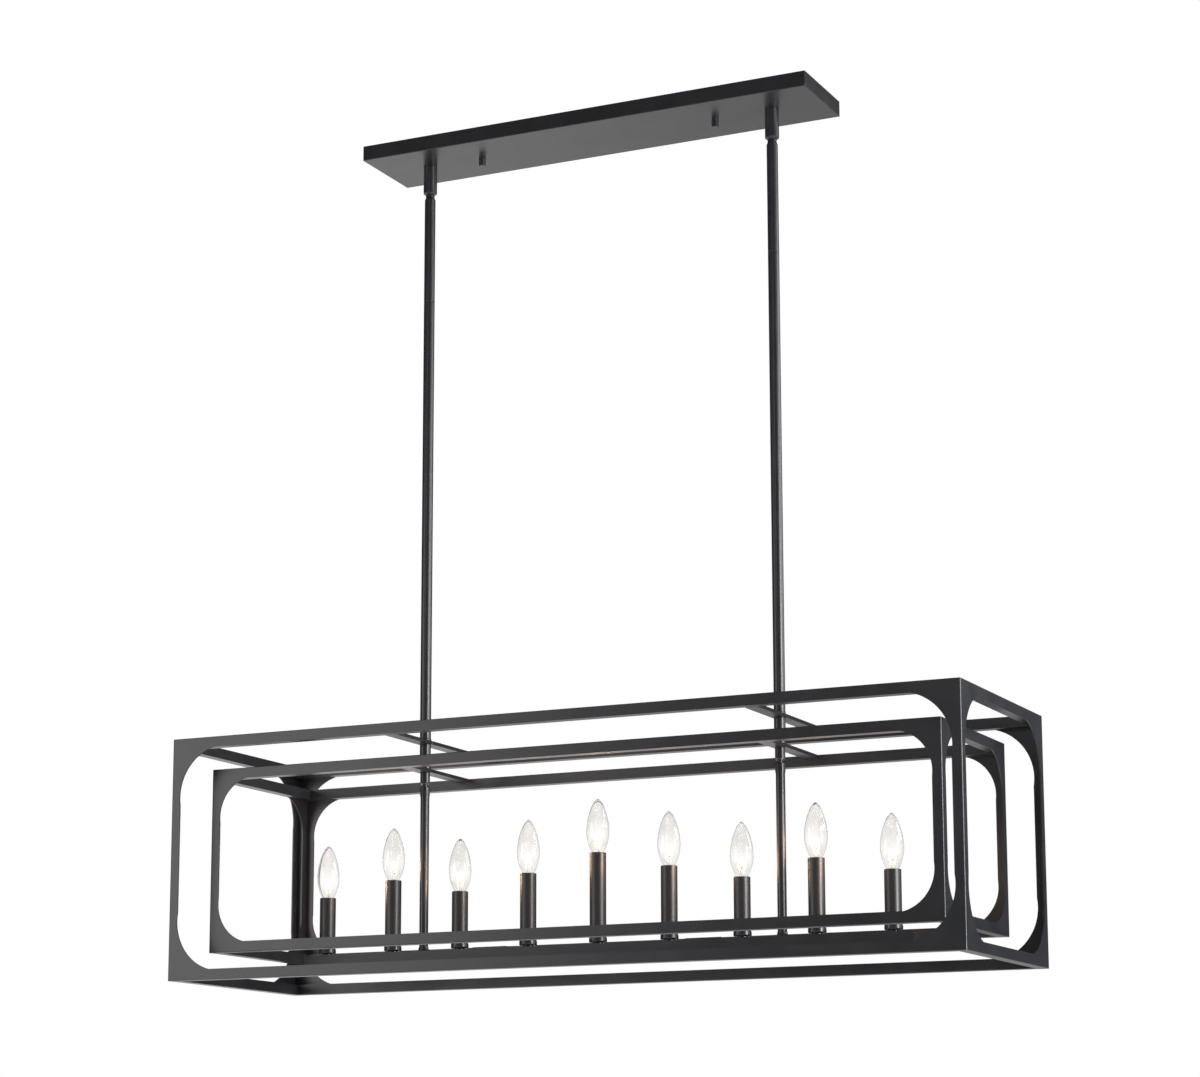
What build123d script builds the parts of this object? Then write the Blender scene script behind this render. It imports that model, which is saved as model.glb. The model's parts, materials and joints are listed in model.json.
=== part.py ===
from build123d import *
import math
import os

# Linear island pendant: nine candle lamps in two nested rectangular cages, hung on two rigid stems.
# Millimetres. The origin is the centre of the canopy's top, on the ceiling. +X runs along the
# fixture to the right, -Y is its front and +Z is up, so the whole fixture hangs below z = 0.

# ---------------------------------------------------------------- sizes

# Canopy: an open-topped steel pan
canopy_length = 702.0
canopy_width = 135.0
canopy_depth = 22.0
canopy_sheet = 1.2
canopy_corner = 1.6  # radius of the four upright corners
canopy_edge = 0.8  # radius round the bottom

# Strap bracket with down-turned long edges, bolted to the junction box
bracket_length = 410.0
bracket_width = 30.0
bracket_sheet = 2.0
bracket_flange = 7.0
bracket_bend = 1.0  # radius along the bends
box_screw_spacing = 88.9
box_slot_length = 14.0
box_slot_width = 5.0
stud_spacing = 374.0
stud_radius = 2.4
stud_nut_flats = 8.0
stud_nut_height = 4.0
cap_nut_radius = 5.0
cap_nut_length = 12.0
cap_nut_wall = 2.5  # left under the stud
cap_nut_chamfer = 0.6

# Threaded lamp pipe, as used in every screwed joint
pipe_radius = 5.0
pipe_bore = 3.2
pipe_nut_height = 4.0
canopy_nut_flats = 17.0
channel_nut_flats = 14.0
thread_gap = 0.1  # radial, threads are drawn plain

# Swivels
stem_spacing = 548.0
housing_radius = 10.0
housing_length = 43.0
housing_top = 10.0  # solid wall above the ball's chamber
housing_lip_chamfer = 1.2
nipple_above_floor = 9.0
ball_radius = 8.5
ball_gap = 0.05  # radial running clearance
ball_above_lip = 5.0
ball_bore = 2.6
neck_radius = 4.2
neck_collar_radius = 6.5
neck_collar_length = 4.0
shoulder_length = 2.5
swing_limit = 15.0  # degrees, fore and aft
lip_clearance = 0.1
spigot_length = 10.0  # inside the tube it carries

# Stems
stem_radius = 7.9375
stem_wall = 1.2
short_rod_length = 158.0
long_rod_length = 651.5
rod_end_chamfer = 0.5
rod_nipple_length = 24.0
frame_collar_radius = 8.5
frame_collar_height = 3.0

# Cages: square tube rails and bent sheet corner posts
cage_length = 1180.0
cage_width = 344.0
cage_height = 344.0
cage_inset = 41.0  # from the outer cage to the inner one, all round
rail_size = 15.0
rail_wall = 1.2
rail_edge = 0.8
cage_corner = 2.0  # radius of the upright corners
post_leg = 14.0
post_sheet = 2.0
outer_arc_centre = 84.0  # from both outer edges of the face
outer_arc_bite = 1.0  # how far the arc cuts past the leg's inner edge
inner_arc_centre = 69.0
inner_arc_bite = 0.5
crossbar_width = 19.0
crossbar_height = 5.0

# Lower rods, from the inner cage to the lamp row
coupling_radius = 7.0
coupling_length = 16.8
coupling_chamfer = 1.5
coupling_thread_depth = 12.0
link_radius = 3.5
link_length = 3.8
link_bore = 2.4
link_spigot = 8.0
ferrule_radius = 7.0
ferrule_length = 13.4
ferrule_roof = 4.0
ferrule_chamfer = 1.0
row_rod_radius = 6.35
row_rod_wall = 1.2
foot_level = 294.5  # below the top of the cages
foot_radius = 8.6  # on the channel
foot_neck_radius = 6.6  # under the rod
foot_height = 7.0

# Lamp row
channel_end_margin = 31.0  # past the last candle
channel_width = 25.0
channel_height = 22.0
channel_sheet = 1.5
channel_end_round = 4.0
cover_gap = 0.1
cover_sheet = 1.5
plate_spacing = 326.0
plate_length = 52.0
plate_height = 2.0
candle_pitch = 108.0
candles_each_side = 4
sleeve_radius = 11.5
sleeve_wall = 1.0
sleeve_gap = 0.1
short_sleeve_length = 76.0
medium_sleeve_length = 96.5
tall_sleeve_length = 120.0
cup_neck_radius = 7.2
cup_neck_height = 2.5
cup_floor = 4.0  # from the neck to the sleeve's seat
cup_wall = 0.7
cup_swell = 0.4  # of the base, past the rim
cup_round = 1.5
cup_height = 9.0
socket_radius = 9.0
socket_length = 30.0
socket_recess = 8.0  # below the top of the sleeve
socket_depth = 15.0
socket_thread_depth = 5.0
post_nut_show = 1.5  # pipe left showing below its nut

# Flame bulb, measured up from its contact
bulb_length = 98.0
bulb_radius = 15.9
bulb_belly = 53.0
bulb_tip_radius = 3.3
bulb_lower_radius = 57.0  # of the belly's curve below its widest
bulb_neck_radius = 5.6
bulb_glass = 0.8
screw_base_radius = 5.95
screw_base_length = 16.5
screw_base_gap = 0.08
contact_radius = 3.0
contact_height = 1.5
glass_stem_radius = 2.6
glass_stem_length = 20.0
glass_stem_tip = 1.2
lead_wire_radius = 0.3
lead_wire_foot = 0.8  # from the bulb's axis
lead_wire_rise = 2.5
lead_wire_spread = 4.5
filament_foot_height = 7.5  # above the glass stem
filament_height = 12.5
filament_crown = 2.0  # half the width of the arch's top
filament_bend = 1.0

# Wiring
feed_radius = 1.8
trunk_width = 6.0  # a flat bundle of wires
trunk_height = 3.2
trunk_depth = 12.0  # from the top of the channel to the bundle
lead_end_gap = 0.5  # above the swivel ball
lead_crest = 4.5  # above the nipple's top
lead_run_out = 14.0  # from the stem's axis to the start of the way down
lead_landing = 30.0  # from the stem's axis to the canopy's floor
lead_landing_offset = 4.0
lead_bend = 4.0
lead_straight = 12.0  # into a splice
lead_lift_off = 28.0  # from a splice to where the lead leaves the canopy's floor
splice_radius = 5.0
splice_tip_radius = 3.5
splice_length = 18.0
splice_offset = 9.0  # from the fixture's mid-plane
splice_spacing = 24.0  # between the two mouths
lay_gap = 0.05

# ---------------------------------------------------------------- places

stem_x = stem_spacing / 2
stem_spots = [(-stem_x, 0), (stem_x, 0)]
stud_spots = [(-stud_spacing / 2, 0), (stud_spacing / 2, 0)]
candle_numbers = range(-candles_each_side, candles_each_side + 1)
candle_spots = [(number * candle_pitch, 0) for number in candle_numbers]
tall_spots = [(0, 0)]
medium_spots = [(x, 0) for x in (-3 * candle_pitch, -candle_pitch, candle_pitch, 3 * candle_pitch)]
short_spots = [spot for spot in candle_spots if spot not in medium_spots + tall_spots]

canopy_floor = canopy_sheet - canopy_depth
nipple_top = canopy_floor + nipple_above_floor
lip_z = -canopy_depth - housing_length
ball_z = lip_z + ball_above_lip
swing = math.radians(swing_limit)
collar_drop = (ball_above_lip + lip_clearance + neck_collar_radius * math.sin(swing)) / math.cos(swing)
shoulder_z = ball_z - collar_drop - neck_collar_length
stem_top = shoulder_z - shoulder_length
stem_joint = stem_top - short_rod_length
stem_foot = stem_joint - long_rod_length
cage_top = stem_foot - frame_collar_height
inner_top = cage_top - cage_inset
stem_bore = stem_radius - stem_wall
spigot_radius = stem_bore - thread_gap
thread_hole = pipe_radius + thread_gap

coupling_top = inner_top - crossbar_height
link_top = coupling_top - coupling_length
ferrule_top = link_top - link_length
row_rod_top = ferrule_top - ferrule_roof
row_rod_bore = row_rod_radius - row_rod_wall
foot_top = cage_top - foot_level
channel_top = foot_top - foot_height
channel_length = 2 * (candles_each_side * candle_pitch + channel_end_margin)
channel_roof = channel_top - channel_sheet
nut_bottom = channel_roof - pipe_nut_height
trunk_z = channel_top - trunk_depth
cup_seat = channel_top + cup_neck_height + cup_floor


# ---------------------------------------------------------------- canopy and bracket

with BuildPart() as canopy:
    with BuildSketch(Plane.XY):
        RectangleRounded(canopy_length, canopy_width, canopy_corner)
    extrude(amount=-canopy_depth)
    fillet(canopy.faces().sort_by(Axis.Z)[0].edges(), canopy_edge)
    with BuildSketch(Plane.XY):
        Rectangle(canopy_length - 2 * canopy_sheet, canopy_width - 2 * canopy_sheet)
    extrude(amount=canopy_floor, mode=Mode.SUBTRACT)
    with BuildSketch(Plane.XY.offset(canopy_floor)):
        with Locations(*stud_spots):
            Circle(stud_radius + thread_gap)
        with Locations(*stem_spots):
            Circle(thread_hole)
    extrude(amount=-canopy_sheet, mode=Mode.SUBTRACT)
canopy.part.label = "canopy"

with BuildPart() as mounting_bracket:
    with BuildSketch(Plane.XY):
        Rectangle(bracket_length, bracket_width)
    extrude(amount=-bracket_flange)
    with BuildSketch(Plane.XY.offset(-bracket_sheet)):
        Rectangle(bracket_length, bracket_width - 2 * bracket_sheet)
    extrude(amount=bracket_sheet - bracket_flange, mode=Mode.SUBTRACT)
    fillet(mounting_bracket.edges().filter_by(Axis.X).group_by(Axis.Z)[-1], bracket_bend)
    with BuildSketch(Plane.XY):
        with Locations((-box_screw_spacing / 2, 0), (box_screw_spacing / 2, 0)):
            SlotOverall(box_slot_length, box_slot_width)
        with Locations(*stud_spots):
            Circle(stud_radius + thread_gap)
    extrude(amount=-bracket_sheet, mode=Mode.SUBTRACT)
mounting_bracket.part.label = "mounting_bracket"

stud_end = -canopy_depth - cap_nut_length + cap_nut_wall
with BuildPart() as canopy_studs:
    with BuildSketch(Plane.XY):
        with Locations(*stud_spots):
            Circle(stud_radius)
    extrude(amount=stud_end)
canopy_studs.part.label = "canopy_studs"

with BuildPart() as stud_nuts:
    with BuildSketch(Plane.XY.offset(-bracket_sheet)):
        with Locations(*stud_spots):
            RegularPolygon(stud_nut_flats / 2, 6, major_radius=False)
            Circle(stud_radius + thread_gap, mode=Mode.SUBTRACT)
    extrude(amount=-stud_nut_height)
stud_nuts.part.label = "stud_nuts"

with BuildPart() as cap_nuts:
    with BuildSketch(Plane.XY.offset(-canopy_depth)):
        with Locations(*stud_spots):
            Circle(cap_nut_radius)
    extrude(amount=-cap_nut_length)
    chamfer(cap_nuts.edges().filter_by(GeomType.CIRCLE).group_by(Axis.Z)[0], cap_nut_chamfer)
    with BuildSketch(Plane.XY.offset(-canopy_depth)):
        with Locations(*stud_spots):
            Circle(stud_radius + thread_gap)
    extrude(amount=stud_end + canopy_depth, mode=Mode.SUBTRACT)
cap_nuts.part.label = "cap_nuts"

# ---------------------------------------------------------------- swivels

with BuildPart() as housing_nipples:
    with BuildSketch(Plane.XY.offset(nipple_top)):
        with Locations(*stem_spots):
            Circle(pipe_radius)
            Circle(pipe_bore, mode=Mode.SUBTRACT)
    extrude(amount=-nipple_above_floor - canopy_sheet - housing_top)
housing_nipples.part.label = "housing_nipples"

with BuildPart() as nipple_nuts:
    with BuildSketch(Plane.XY.offset(canopy_floor)):
        with Locations(*stem_spots):
            RegularPolygon(canopy_nut_flats / 2, 6, major_radius=False)
            Circle(thread_hole, mode=Mode.SUBTRACT)
    extrude(amount=pipe_nut_height)
nipple_nuts.part.label = "nipple_nuts"

# The ball drops in from above and rests in a round seat, whose lip is narrower than the ball.
with BuildPart() as swivel_housing:
    with BuildSketch(Plane.XY.offset(-canopy_depth)):
        Circle(housing_radius)
    extrude(amount=-housing_length)
    chamfer(swivel_housing.edges().sort_by(Axis.Z)[0], housing_lip_chamfer)
    with BuildSketch(Plane.XY.offset(-canopy_depth)):
        Circle(thread_hole)
    extrude(amount=-housing_top, mode=Mode.SUBTRACT)
    with BuildSketch(Plane.XY.offset(-canopy_depth - housing_top)):
        Circle(ball_radius + ball_gap)
    extrude(amount=ball_z + canopy_depth + housing_top, mode=Mode.SUBTRACT)
    with Locations((0, 0, ball_z)):
        Sphere(ball_radius + ball_gap, mode=Mode.SUBTRACT)

with BuildPart() as swivel_housings:
    with Locations(*stem_spots):
        add(swivel_housing.part)
swivel_housings.part.label = "swivel_housings"

with BuildPart() as swivel_ball:
    with Locations((0, 0, ball_z)):
        Sphere(ball_radius)
    with BuildSketch(Plane.XY.offset(ball_z)):
        Circle(neck_radius)
    extrude(amount=-collar_drop)
    with BuildSketch(Plane.XY.offset(ball_z - collar_drop)):
        Circle(neck_collar_radius)
    extrude(amount=-neck_collar_length)
    with BuildSketch(Plane.XY.offset(shoulder_z)):
        Circle(neck_collar_radius)
    with BuildSketch(Plane.XY.offset(stem_top)):
        Circle(stem_radius)
    loft()
    with BuildSketch(Plane.XY.offset(stem_top)):
        Circle(spigot_radius)
    extrude(amount=-spigot_length)
    with BuildSketch(Plane.XY.offset(ball_z + ball_radius)):
        Circle(ball_bore)
    extrude(amount=stem_top - spigot_length - ball_z - ball_radius, mode=Mode.SUBTRACT)

with BuildPart() as swivel_balls:
    with Locations(*stem_spots):
        add(swivel_ball.part)
swivel_balls.part.label = "swivel_balls"

# ---------------------------------------------------------------- stems


def stem_tube(top, length):
    """A stem rod in each stem, from its top down, with a small chamfer at both ends."""
    with BuildPart() as tube:
        with BuildSketch(Plane.XY.offset(top)):
            with Locations(*stem_spots):
                Circle(stem_radius)
        extrude(amount=-length)
        chamfer(tube.edges().filter_by(GeomType.CIRCLE), rod_end_chamfer)
        with BuildSketch(Plane.XY.offset(top)):
            with Locations(*stem_spots):
                Circle(stem_bore)
        extrude(amount=-length, mode=Mode.SUBTRACT)
    return tube


short_rods = stem_tube(stem_top, short_rod_length)
short_rods.part.label = "short_rods"

long_rods = stem_tube(stem_joint, long_rod_length)
long_rods.part.label = "long_rods"

with BuildPart() as rod_nipples:
    with BuildSketch(Plane.XY.offset(stem_joint - rod_nipple_length / 2)):
        with Locations(*stem_spots):
            Circle(spigot_radius)
            Circle(pipe_bore, mode=Mode.SUBTRACT)
    extrude(amount=rod_nipple_length)
rod_nipples.part.label = "rod_nipples"

with BuildPart() as frame_collars:
    with BuildSketch(Plane.XY.offset(cage_top)):
        with Locations(*stem_spots):
            Circle(frame_collar_radius)
    extrude(amount=frame_collar_height)
    with BuildSketch(Plane.XY.offset(stem_foot)):
        with Locations(*stem_spots):
            Circle(spigot_radius)
    extrude(amount=spigot_length)
    with BuildSketch(Plane.XY.offset(cage_top)):
        with Locations(*stem_spots):
            Circle(thread_hole)
    extrude(amount=frame_collar_height + spigot_length, mode=Mode.SUBTRACT)
frame_collars.part.label = "frame_collars"

frame_nipple_top = stem_foot + spigot_length
with BuildPart() as frame_nipples:
    with BuildSketch(Plane.XY.offset(frame_nipple_top)):
        with Locations(*stem_spots):
            Circle(pipe_radius)
            Circle(pipe_bore, mode=Mode.SUBTRACT)
    extrude(amount=coupling_top - coupling_thread_depth - frame_nipple_top)
frame_nipples.part.label = "frame_nipples"

with BuildPart() as spacer_tubes:
    with BuildSketch(Plane.XY.offset(cage_top - crossbar_height)):
        with Locations(*stem_spots):
            Circle(stem_radius)
            Circle(stem_bore, mode=Mode.SUBTRACT)
    extrude(amount=inner_top - cage_top + crossbar_height)
spacer_tubes.part.label = "spacer_tubes"

# ---------------------------------------------------------------- cages


def long_rail(length, width, top):
    """The top front rail of a cage: square tube with mitred ends, round at the cage's corners."""
    outer_y = -width / 2
    with BuildPart() as rail:
        with BuildSketch(Plane.YZ.offset(-length / 2)):
            with Locations((outer_y + rail_size / 2, top - rail_size / 2)):
                Rectangle(rail_size, rail_size)
                Rectangle(rail_size - 2 * rail_wall, rail_size - 2 * rail_wall, mode=Mode.SUBTRACT)
        extrude(amount=length)
        top_edges = rail.edges().filter_by(Axis.X).group_by(Axis.Z)[-1]
        fillet(top_edges.sort_by(Axis.Y)[0], rail_edge)
        with BuildSketch(Plane.XY.offset(top)):
            RectangleRounded(length, width, cage_corner)
            with BuildLine():
                Polyline(
                    (-length / 2, outer_y),
                    (length / 2, outer_y),
                    (length / 2 - rail_size, outer_y + rail_size),
                    (-length / 2 + rail_size, outer_y + rail_size),
                    close=True,
                )
            make_face(mode=Mode.INTERSECT)
        extrude(amount=-rail_size, mode=Mode.INTERSECT)
    return rail.part


def end_rail(length, width, top):
    """The top left rail of a cage, mitred to meet the long rails."""
    outer_x = -length / 2
    with BuildPart() as rail:
        with BuildSketch(Plane.XZ.offset(-width / 2)):
            with Locations((outer_x + rail_size / 2, top - rail_size / 2)):
                Rectangle(rail_size, rail_size)
                Rectangle(rail_size - 2 * rail_wall, rail_size - 2 * rail_wall, mode=Mode.SUBTRACT)
        extrude(amount=width)
        top_edges = rail.edges().filter_by(Axis.Y).group_by(Axis.Z)[-1]
        fillet(top_edges.sort_by(Axis.X)[0], rail_edge)
        with BuildSketch(Plane.XY.offset(top)):
            RectangleRounded(length, width, cage_corner)
            with BuildLine():
                Polyline(
                    (outer_x, -width / 2),
                    (outer_x + rail_size, -width / 2 + rail_size),
                    (outer_x + rail_size, width / 2 - rail_size),
                    (outer_x, width / 2),
                    close=True,
                )
            make_face(mode=Mode.INTERSECT)
        extrude(amount=-rail_size, mode=Mode.INTERSECT)
    return rail.part


def post_leg_outline(height, edge, arc_centre, arc_bite):
    """One leg of a corner post, flat: the strip and the gussets that an arc leaves at both ends.

    The outline is drawn with its outer edge on x = 0 and z = 0 at the cage's mid-height; edge says
    which way the face runs from that edge.
    """
    half = height / 2 - rail_size
    arc_radius = arc_centre - min(post_leg, rail_size) + arc_bite
    centre_z = height / 2 - arc_centre
    gusset_reach = arc_centre - math.sqrt(arc_radius**2 - (arc_centre - rail_size) ** 2)
    gusset_drop = arc_centre - math.sqrt(arc_radius**2 - (arc_centre - post_leg) ** 2)
    gusset_depth = gusset_drop - rail_size
    with BuildSketch() as leg:
        with Locations((edge * post_leg / 2, 0)):
            Rectangle(post_leg, 2 * half)
        with Locations((edge * gusset_reach / 2, half - gusset_depth / 2)):
            Rectangle(gusset_reach, gusset_depth)
        with Locations((edge * gusset_reach / 2, gusset_depth / 2 - half)):
            Rectangle(gusset_reach, gusset_depth)
        with Locations((edge * arc_centre, centre_z), (edge * arc_centre, -centre_z)):
            Circle(arc_radius, mode=Mode.SUBTRACT)
    return leg.sketch


def corner_post(length, width, height, top, arc_centre, arc_bite):
    """The front left post of a cage: sheet bent round the corner, flush with the rails' faces."""
    corner = (-length / 2, -width / 2, top - height / 2)
    front_face = Plane(origin=corner, x_dir=(1, 0, 0), z_dir=(0, -1, 0))
    end_face = Plane(origin=corner, x_dir=(0, -1, 0), z_dir=(-1, 0, 0))
    with BuildPart() as post:
        with BuildSketch(front_face):
            add(post_leg_outline(height, 1, arc_centre, arc_bite))
        extrude(amount=-post_sheet)
        with BuildSketch(end_face):
            add(post_leg_outline(height, -1, arc_centre, arc_bite))
        extrude(amount=-post_sheet)
        uprights = post.edges().filter_by(Axis.Z)
        fillet(uprights.sort_by_distance(corner)[0], cage_corner)
    return post.part


cages = {
    "outer": (cage_length, cage_width, cage_height, cage_top, outer_arc_centre, outer_arc_bite),
    "inner": (
        cage_length - 2 * cage_inset,
        cage_width - 2 * cage_inset,
        cage_height - 2 * cage_inset,
        inner_top,
        inner_arc_centre,
        inner_arc_bite,
    ),
}

os.makedirs("parts", exist_ok=True)

for cage_name, (length, width, height, top, arc_centre, arc_bite) in cages.items():
    mid_height = Plane.XY.offset(top - height / 2)
    top_front = long_rail(length, width, top)
    top_left = end_rail(length, width, top)
    front_left = corner_post(length, width, height, top, arc_centre, arc_bite)
    with BuildPart() as top_back:
        mirror(top_front, about=Plane.XZ)
    with BuildPart() as bottom_front:
        mirror(top_front, about=mid_height)
    with BuildPart() as bottom_back:
        mirror(top_back.part, about=mid_height)
    with BuildPart() as end_rails:
        add(top_left)
        mirror(about=Plane.YZ)
        mirror(about=mid_height)
    with BuildPart() as front_right:
        mirror(front_left, about=Plane.YZ)
    with BuildPart() as back_left:
        mirror(front_left, about=Plane.XZ)
    with BuildPart() as back_right:
        mirror(front_right.part, about=Plane.XZ)
    pieces = {
        "rail_top_front": top_front,
        "rail_top_back": top_back.part,
        "rail_bottom_front": bottom_front.part,
        "rail_bottom_back": bottom_back.part,
        "end_rails": end_rails.part,
        "post_front_left": front_left,
        "post_front_right": front_right.part,
        "post_back_left": back_left.part,
        "post_back_right": back_right.part,
    }
    for piece_name, piece in pieces.items():
        piece.label = f"{cage_name}_{piece_name}"
        export_step(piece, f"parts/{cage_name}_{piece_name}.step")


def crossbar_pair(width, top):
    """A flat bar across the cage at each stem, level with the tops of the long rails."""
    with BuildPart() as bars:
        with BuildSketch(Plane.XY.offset(top)):
            with Locations(*stem_spots):
                Rectangle(crossbar_width, width - 2 * rail_size)
                Circle(thread_hole, mode=Mode.SUBTRACT)
        extrude(amount=-crossbar_height)
    return bars


outer_crossbars = crossbar_pair(cage_width, cage_top)
outer_crossbars.part.label = "outer_crossbars"

inner_crossbars = crossbar_pair(cage_width - 2 * cage_inset, inner_top)
inner_crossbars.part.label = "inner_crossbars"

# ---------------------------------------------------------------- lower rods

with BuildPart() as lower_coupling:
    with BuildSketch(Plane.XY.offset(coupling_top)):
        Circle(coupling_radius)
    extrude(amount=-coupling_length)
    chamfer(lower_coupling.edges().sort_by(Axis.Z)[0], coupling_chamfer)
    with BuildSketch(Plane.XY.offset(link_top)):
        Circle(link_radius)
    extrude(amount=-link_length - link_spigot)
    with BuildSketch(Plane.XY.offset(coupling_top)):
        Circle(thread_hole)
    extrude(amount=-coupling_thread_depth, mode=Mode.SUBTRACT)
    with BuildSketch(Plane.XY.offset(coupling_top)):
        Circle(link_bore)
    extrude(amount=-coupling_length - link_length - link_spigot, mode=Mode.SUBTRACT)

with BuildPart() as lower_couplings:
    with Locations(*stem_spots):
        add(lower_coupling.part)
lower_couplings.part.label = "lower_couplings"

with BuildPart() as row_rod_ferrules:
    with BuildSketch(Plane.XY.offset(ferrule_top)):
        with Locations(*stem_spots):
            Circle(ferrule_radius)
    extrude(amount=-ferrule_length)
    chamfer(row_rod_ferrules.edges().filter_by(GeomType.CIRCLE).group_by(Axis.Z)[-1], ferrule_chamfer)
    with BuildSketch(Plane.XY.offset(ferrule_top)):
        with Locations(*stem_spots):
            Circle(link_radius + thread_gap)
    extrude(amount=-ferrule_length, mode=Mode.SUBTRACT)
    with BuildSketch(Plane.XY.offset(row_rod_top)):
        with Locations(*stem_spots):
            Circle(row_rod_radius + thread_gap)
    extrude(amount=ferrule_roof - ferrule_length, mode=Mode.SUBTRACT)
row_rod_ferrules.part.label = "row_rod_ferrules"

with BuildPart() as row_rods:
    with BuildSketch(Plane.XY.offset(row_rod_top)):
        with Locations(*stem_spots):
            Circle(row_rod_radius)
            Circle(row_rod_bore, mode=Mode.SUBTRACT)
    extrude(amount=foot_top - row_rod_top)
row_rods.part.label = "row_rods"

foot_bottom = nut_bottom - post_nut_show
with BuildPart() as rod_feet:
    with BuildSketch(Plane.XY.offset(foot_top)):
        with Locations(*stem_spots):
            Circle(row_rod_bore - thread_gap)
    extrude(amount=spigot_length)
    with Locations(*[(x, y, channel_top) for x, y in stem_spots]):
        Cone(foot_radius, foot_neck_radius, foot_height, align=(Align.CENTER, Align.CENTER, Align.MIN))
    with BuildSketch(Plane.XY.offset(channel_top)):
        with Locations(*stem_spots):
            Circle(pipe_radius)
    extrude(amount=foot_bottom - channel_top)
    with BuildSketch(Plane.XY.offset(foot_bottom)):
        with Locations(*stem_spots):
            Circle(link_bore)
    extrude(amount=foot_top + spigot_length - foot_bottom, mode=Mode.SUBTRACT)
rod_feet.part.label = "rod_feet"

# ---------------------------------------------------------------- lamp row

with BuildPart() as socket_channel:
    with BuildSketch(Plane.XY.offset(channel_top)):
        Rectangle(channel_length, channel_width)
    extrude(amount=-channel_height)
    fillet(socket_channel.edges().filter_by(Axis.Y).group_by(Axis.Z)[-1], channel_end_round)
    with BuildSketch(Plane.XY.offset(channel_roof)):
        Rectangle(channel_length - 2 * channel_sheet, channel_width - 2 * channel_sheet)
    extrude(amount=channel_sheet - channel_height, mode=Mode.SUBTRACT)
    with BuildSketch(Plane.XY.offset(channel_top)):
        with Locations(*candle_spots, *stem_spots):
            Circle(thread_hole)
    extrude(amount=-channel_sheet, mode=Mode.SUBTRACT)
socket_channel.part.label = "socket_channel"

cover_margin = 2 * (channel_sheet + cover_gap)
with BuildPart() as channel_cover:
    with BuildSketch(Plane.XY.offset(channel_top - channel_height)):
        Rectangle(channel_length - cover_margin, channel_width - cover_margin)
    extrude(amount=cover_sheet)
channel_cover.part.label = "channel_cover"

with BuildPart() as channel_top_plates:
    with BuildSketch(Plane.XY.offset(channel_top)):
        with Locations((-plate_spacing / 2, 0), (plate_spacing / 2, 0)):
            Rectangle(plate_length, channel_width)
    extrude(amount=plate_height)
channel_top_plates.part.label = "channel_top_plates"

with BuildPart() as channel_nuts:
    with BuildSketch(Plane.XY.offset(channel_roof)):
        with Locations(*candle_spots, *stem_spots):
            RegularPolygon(channel_nut_flats / 2, 6, major_radius=False)
            Circle(thread_hole, mode=Mode.SUBTRACT)
    extrude(amount=-pipe_nut_height)
channel_nuts.part.label = "channel_nuts"

# A spun cup: a narrow neck, a flat underside with a round edge, and a side that draws in to the rim.
cup_radius = sleeve_radius + sleeve_gap + cup_wall
cup_base_radius = cup_radius + cup_swell
bowl_bottom = channel_top + cup_neck_height
round_x = cup_base_radius - cup_round
round_z = bowl_bottom + cup_round
with BuildPart() as candle_cup:
    with BuildSketch(Plane.XZ):
        with BuildLine():
            Line((thread_hole, channel_top), (cup_neck_radius, channel_top))
            Line((cup_neck_radius, channel_top), (cup_neck_radius, bowl_bottom))
            Line((cup_neck_radius, bowl_bottom), (round_x, bowl_bottom))
            CenterArc((round_x, round_z), cup_round, start_angle=270, arc_size=90)
            Line((cup_base_radius, round_z), (cup_radius, channel_top + cup_height))
            Line((cup_radius, channel_top + cup_height), (cup_radius - cup_wall, channel_top + cup_height))
            Line((cup_radius - cup_wall, channel_top + cup_height), (cup_radius - cup_wall, cup_seat))
            Line((cup_radius - cup_wall, cup_seat), (thread_hole, cup_seat))
            Line((thread_hole, cup_seat), (thread_hole, channel_top))
        make_face()
    revolve(axis=Axis.Z)

with BuildPart() as candle_cups:
    with Locations(*candle_spots):
        add(candle_cup.part)
candle_cups.part.label = "candle_cups"


def sleeve_group(length, spots):
    """Plain tubes that stand in their cups."""
    with BuildPart() as sleeves:
        with BuildSketch(Plane.XY.offset(cup_seat)):
            with Locations(*spots):
                Circle(sleeve_radius)
                Circle(sleeve_radius - sleeve_wall, mode=Mode.SUBTRACT)
        extrude(amount=length)
    return sleeves


sleeves_short = sleeve_group(short_sleeve_length, short_spots)
sleeves_short.part.label = "sleeves_short"

sleeves_medium = sleeve_group(medium_sleeve_length, medium_spots)
sleeves_medium.part.label = "sleeves_medium"

sleeve_tall = sleeve_group(tall_sleeve_length, tall_spots)
sleeve_tall.part.label = "sleeve_tall"

sleeve_lengths = {spot: short_sleeve_length for spot in short_spots}
sleeve_lengths.update({spot: medium_sleeve_length for spot in medium_spots})
sleeve_lengths.update({spot: tall_sleeve_length for spot in tall_spots})
socket_tops = {spot: cup_seat + length - socket_recess for spot, length in sleeve_lengths.items()}
thread_tops = {spot: z - socket_length + socket_thread_depth for spot, z in socket_tops.items()}

with BuildPart() as candle_sockets:
    for spot in candle_spots:
        socket_top = socket_tops[spot]
        with BuildSketch(Plane.XY.offset(socket_top)):
            with Locations(spot):
                Circle(socket_radius)
        extrude(amount=-socket_length)
        with BuildSketch(Plane.XY.offset(socket_top)):
            with Locations(spot):
                Circle(screw_base_radius + screw_base_gap)
        extrude(amount=-socket_depth, mode=Mode.SUBTRACT)
        with BuildSketch(Plane.XY.offset(socket_top - socket_length)):
            with Locations(spot):
                Circle(thread_hole)
        extrude(amount=socket_thread_depth, mode=Mode.SUBTRACT)
candle_sockets.part.label = "candle_sockets"

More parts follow.
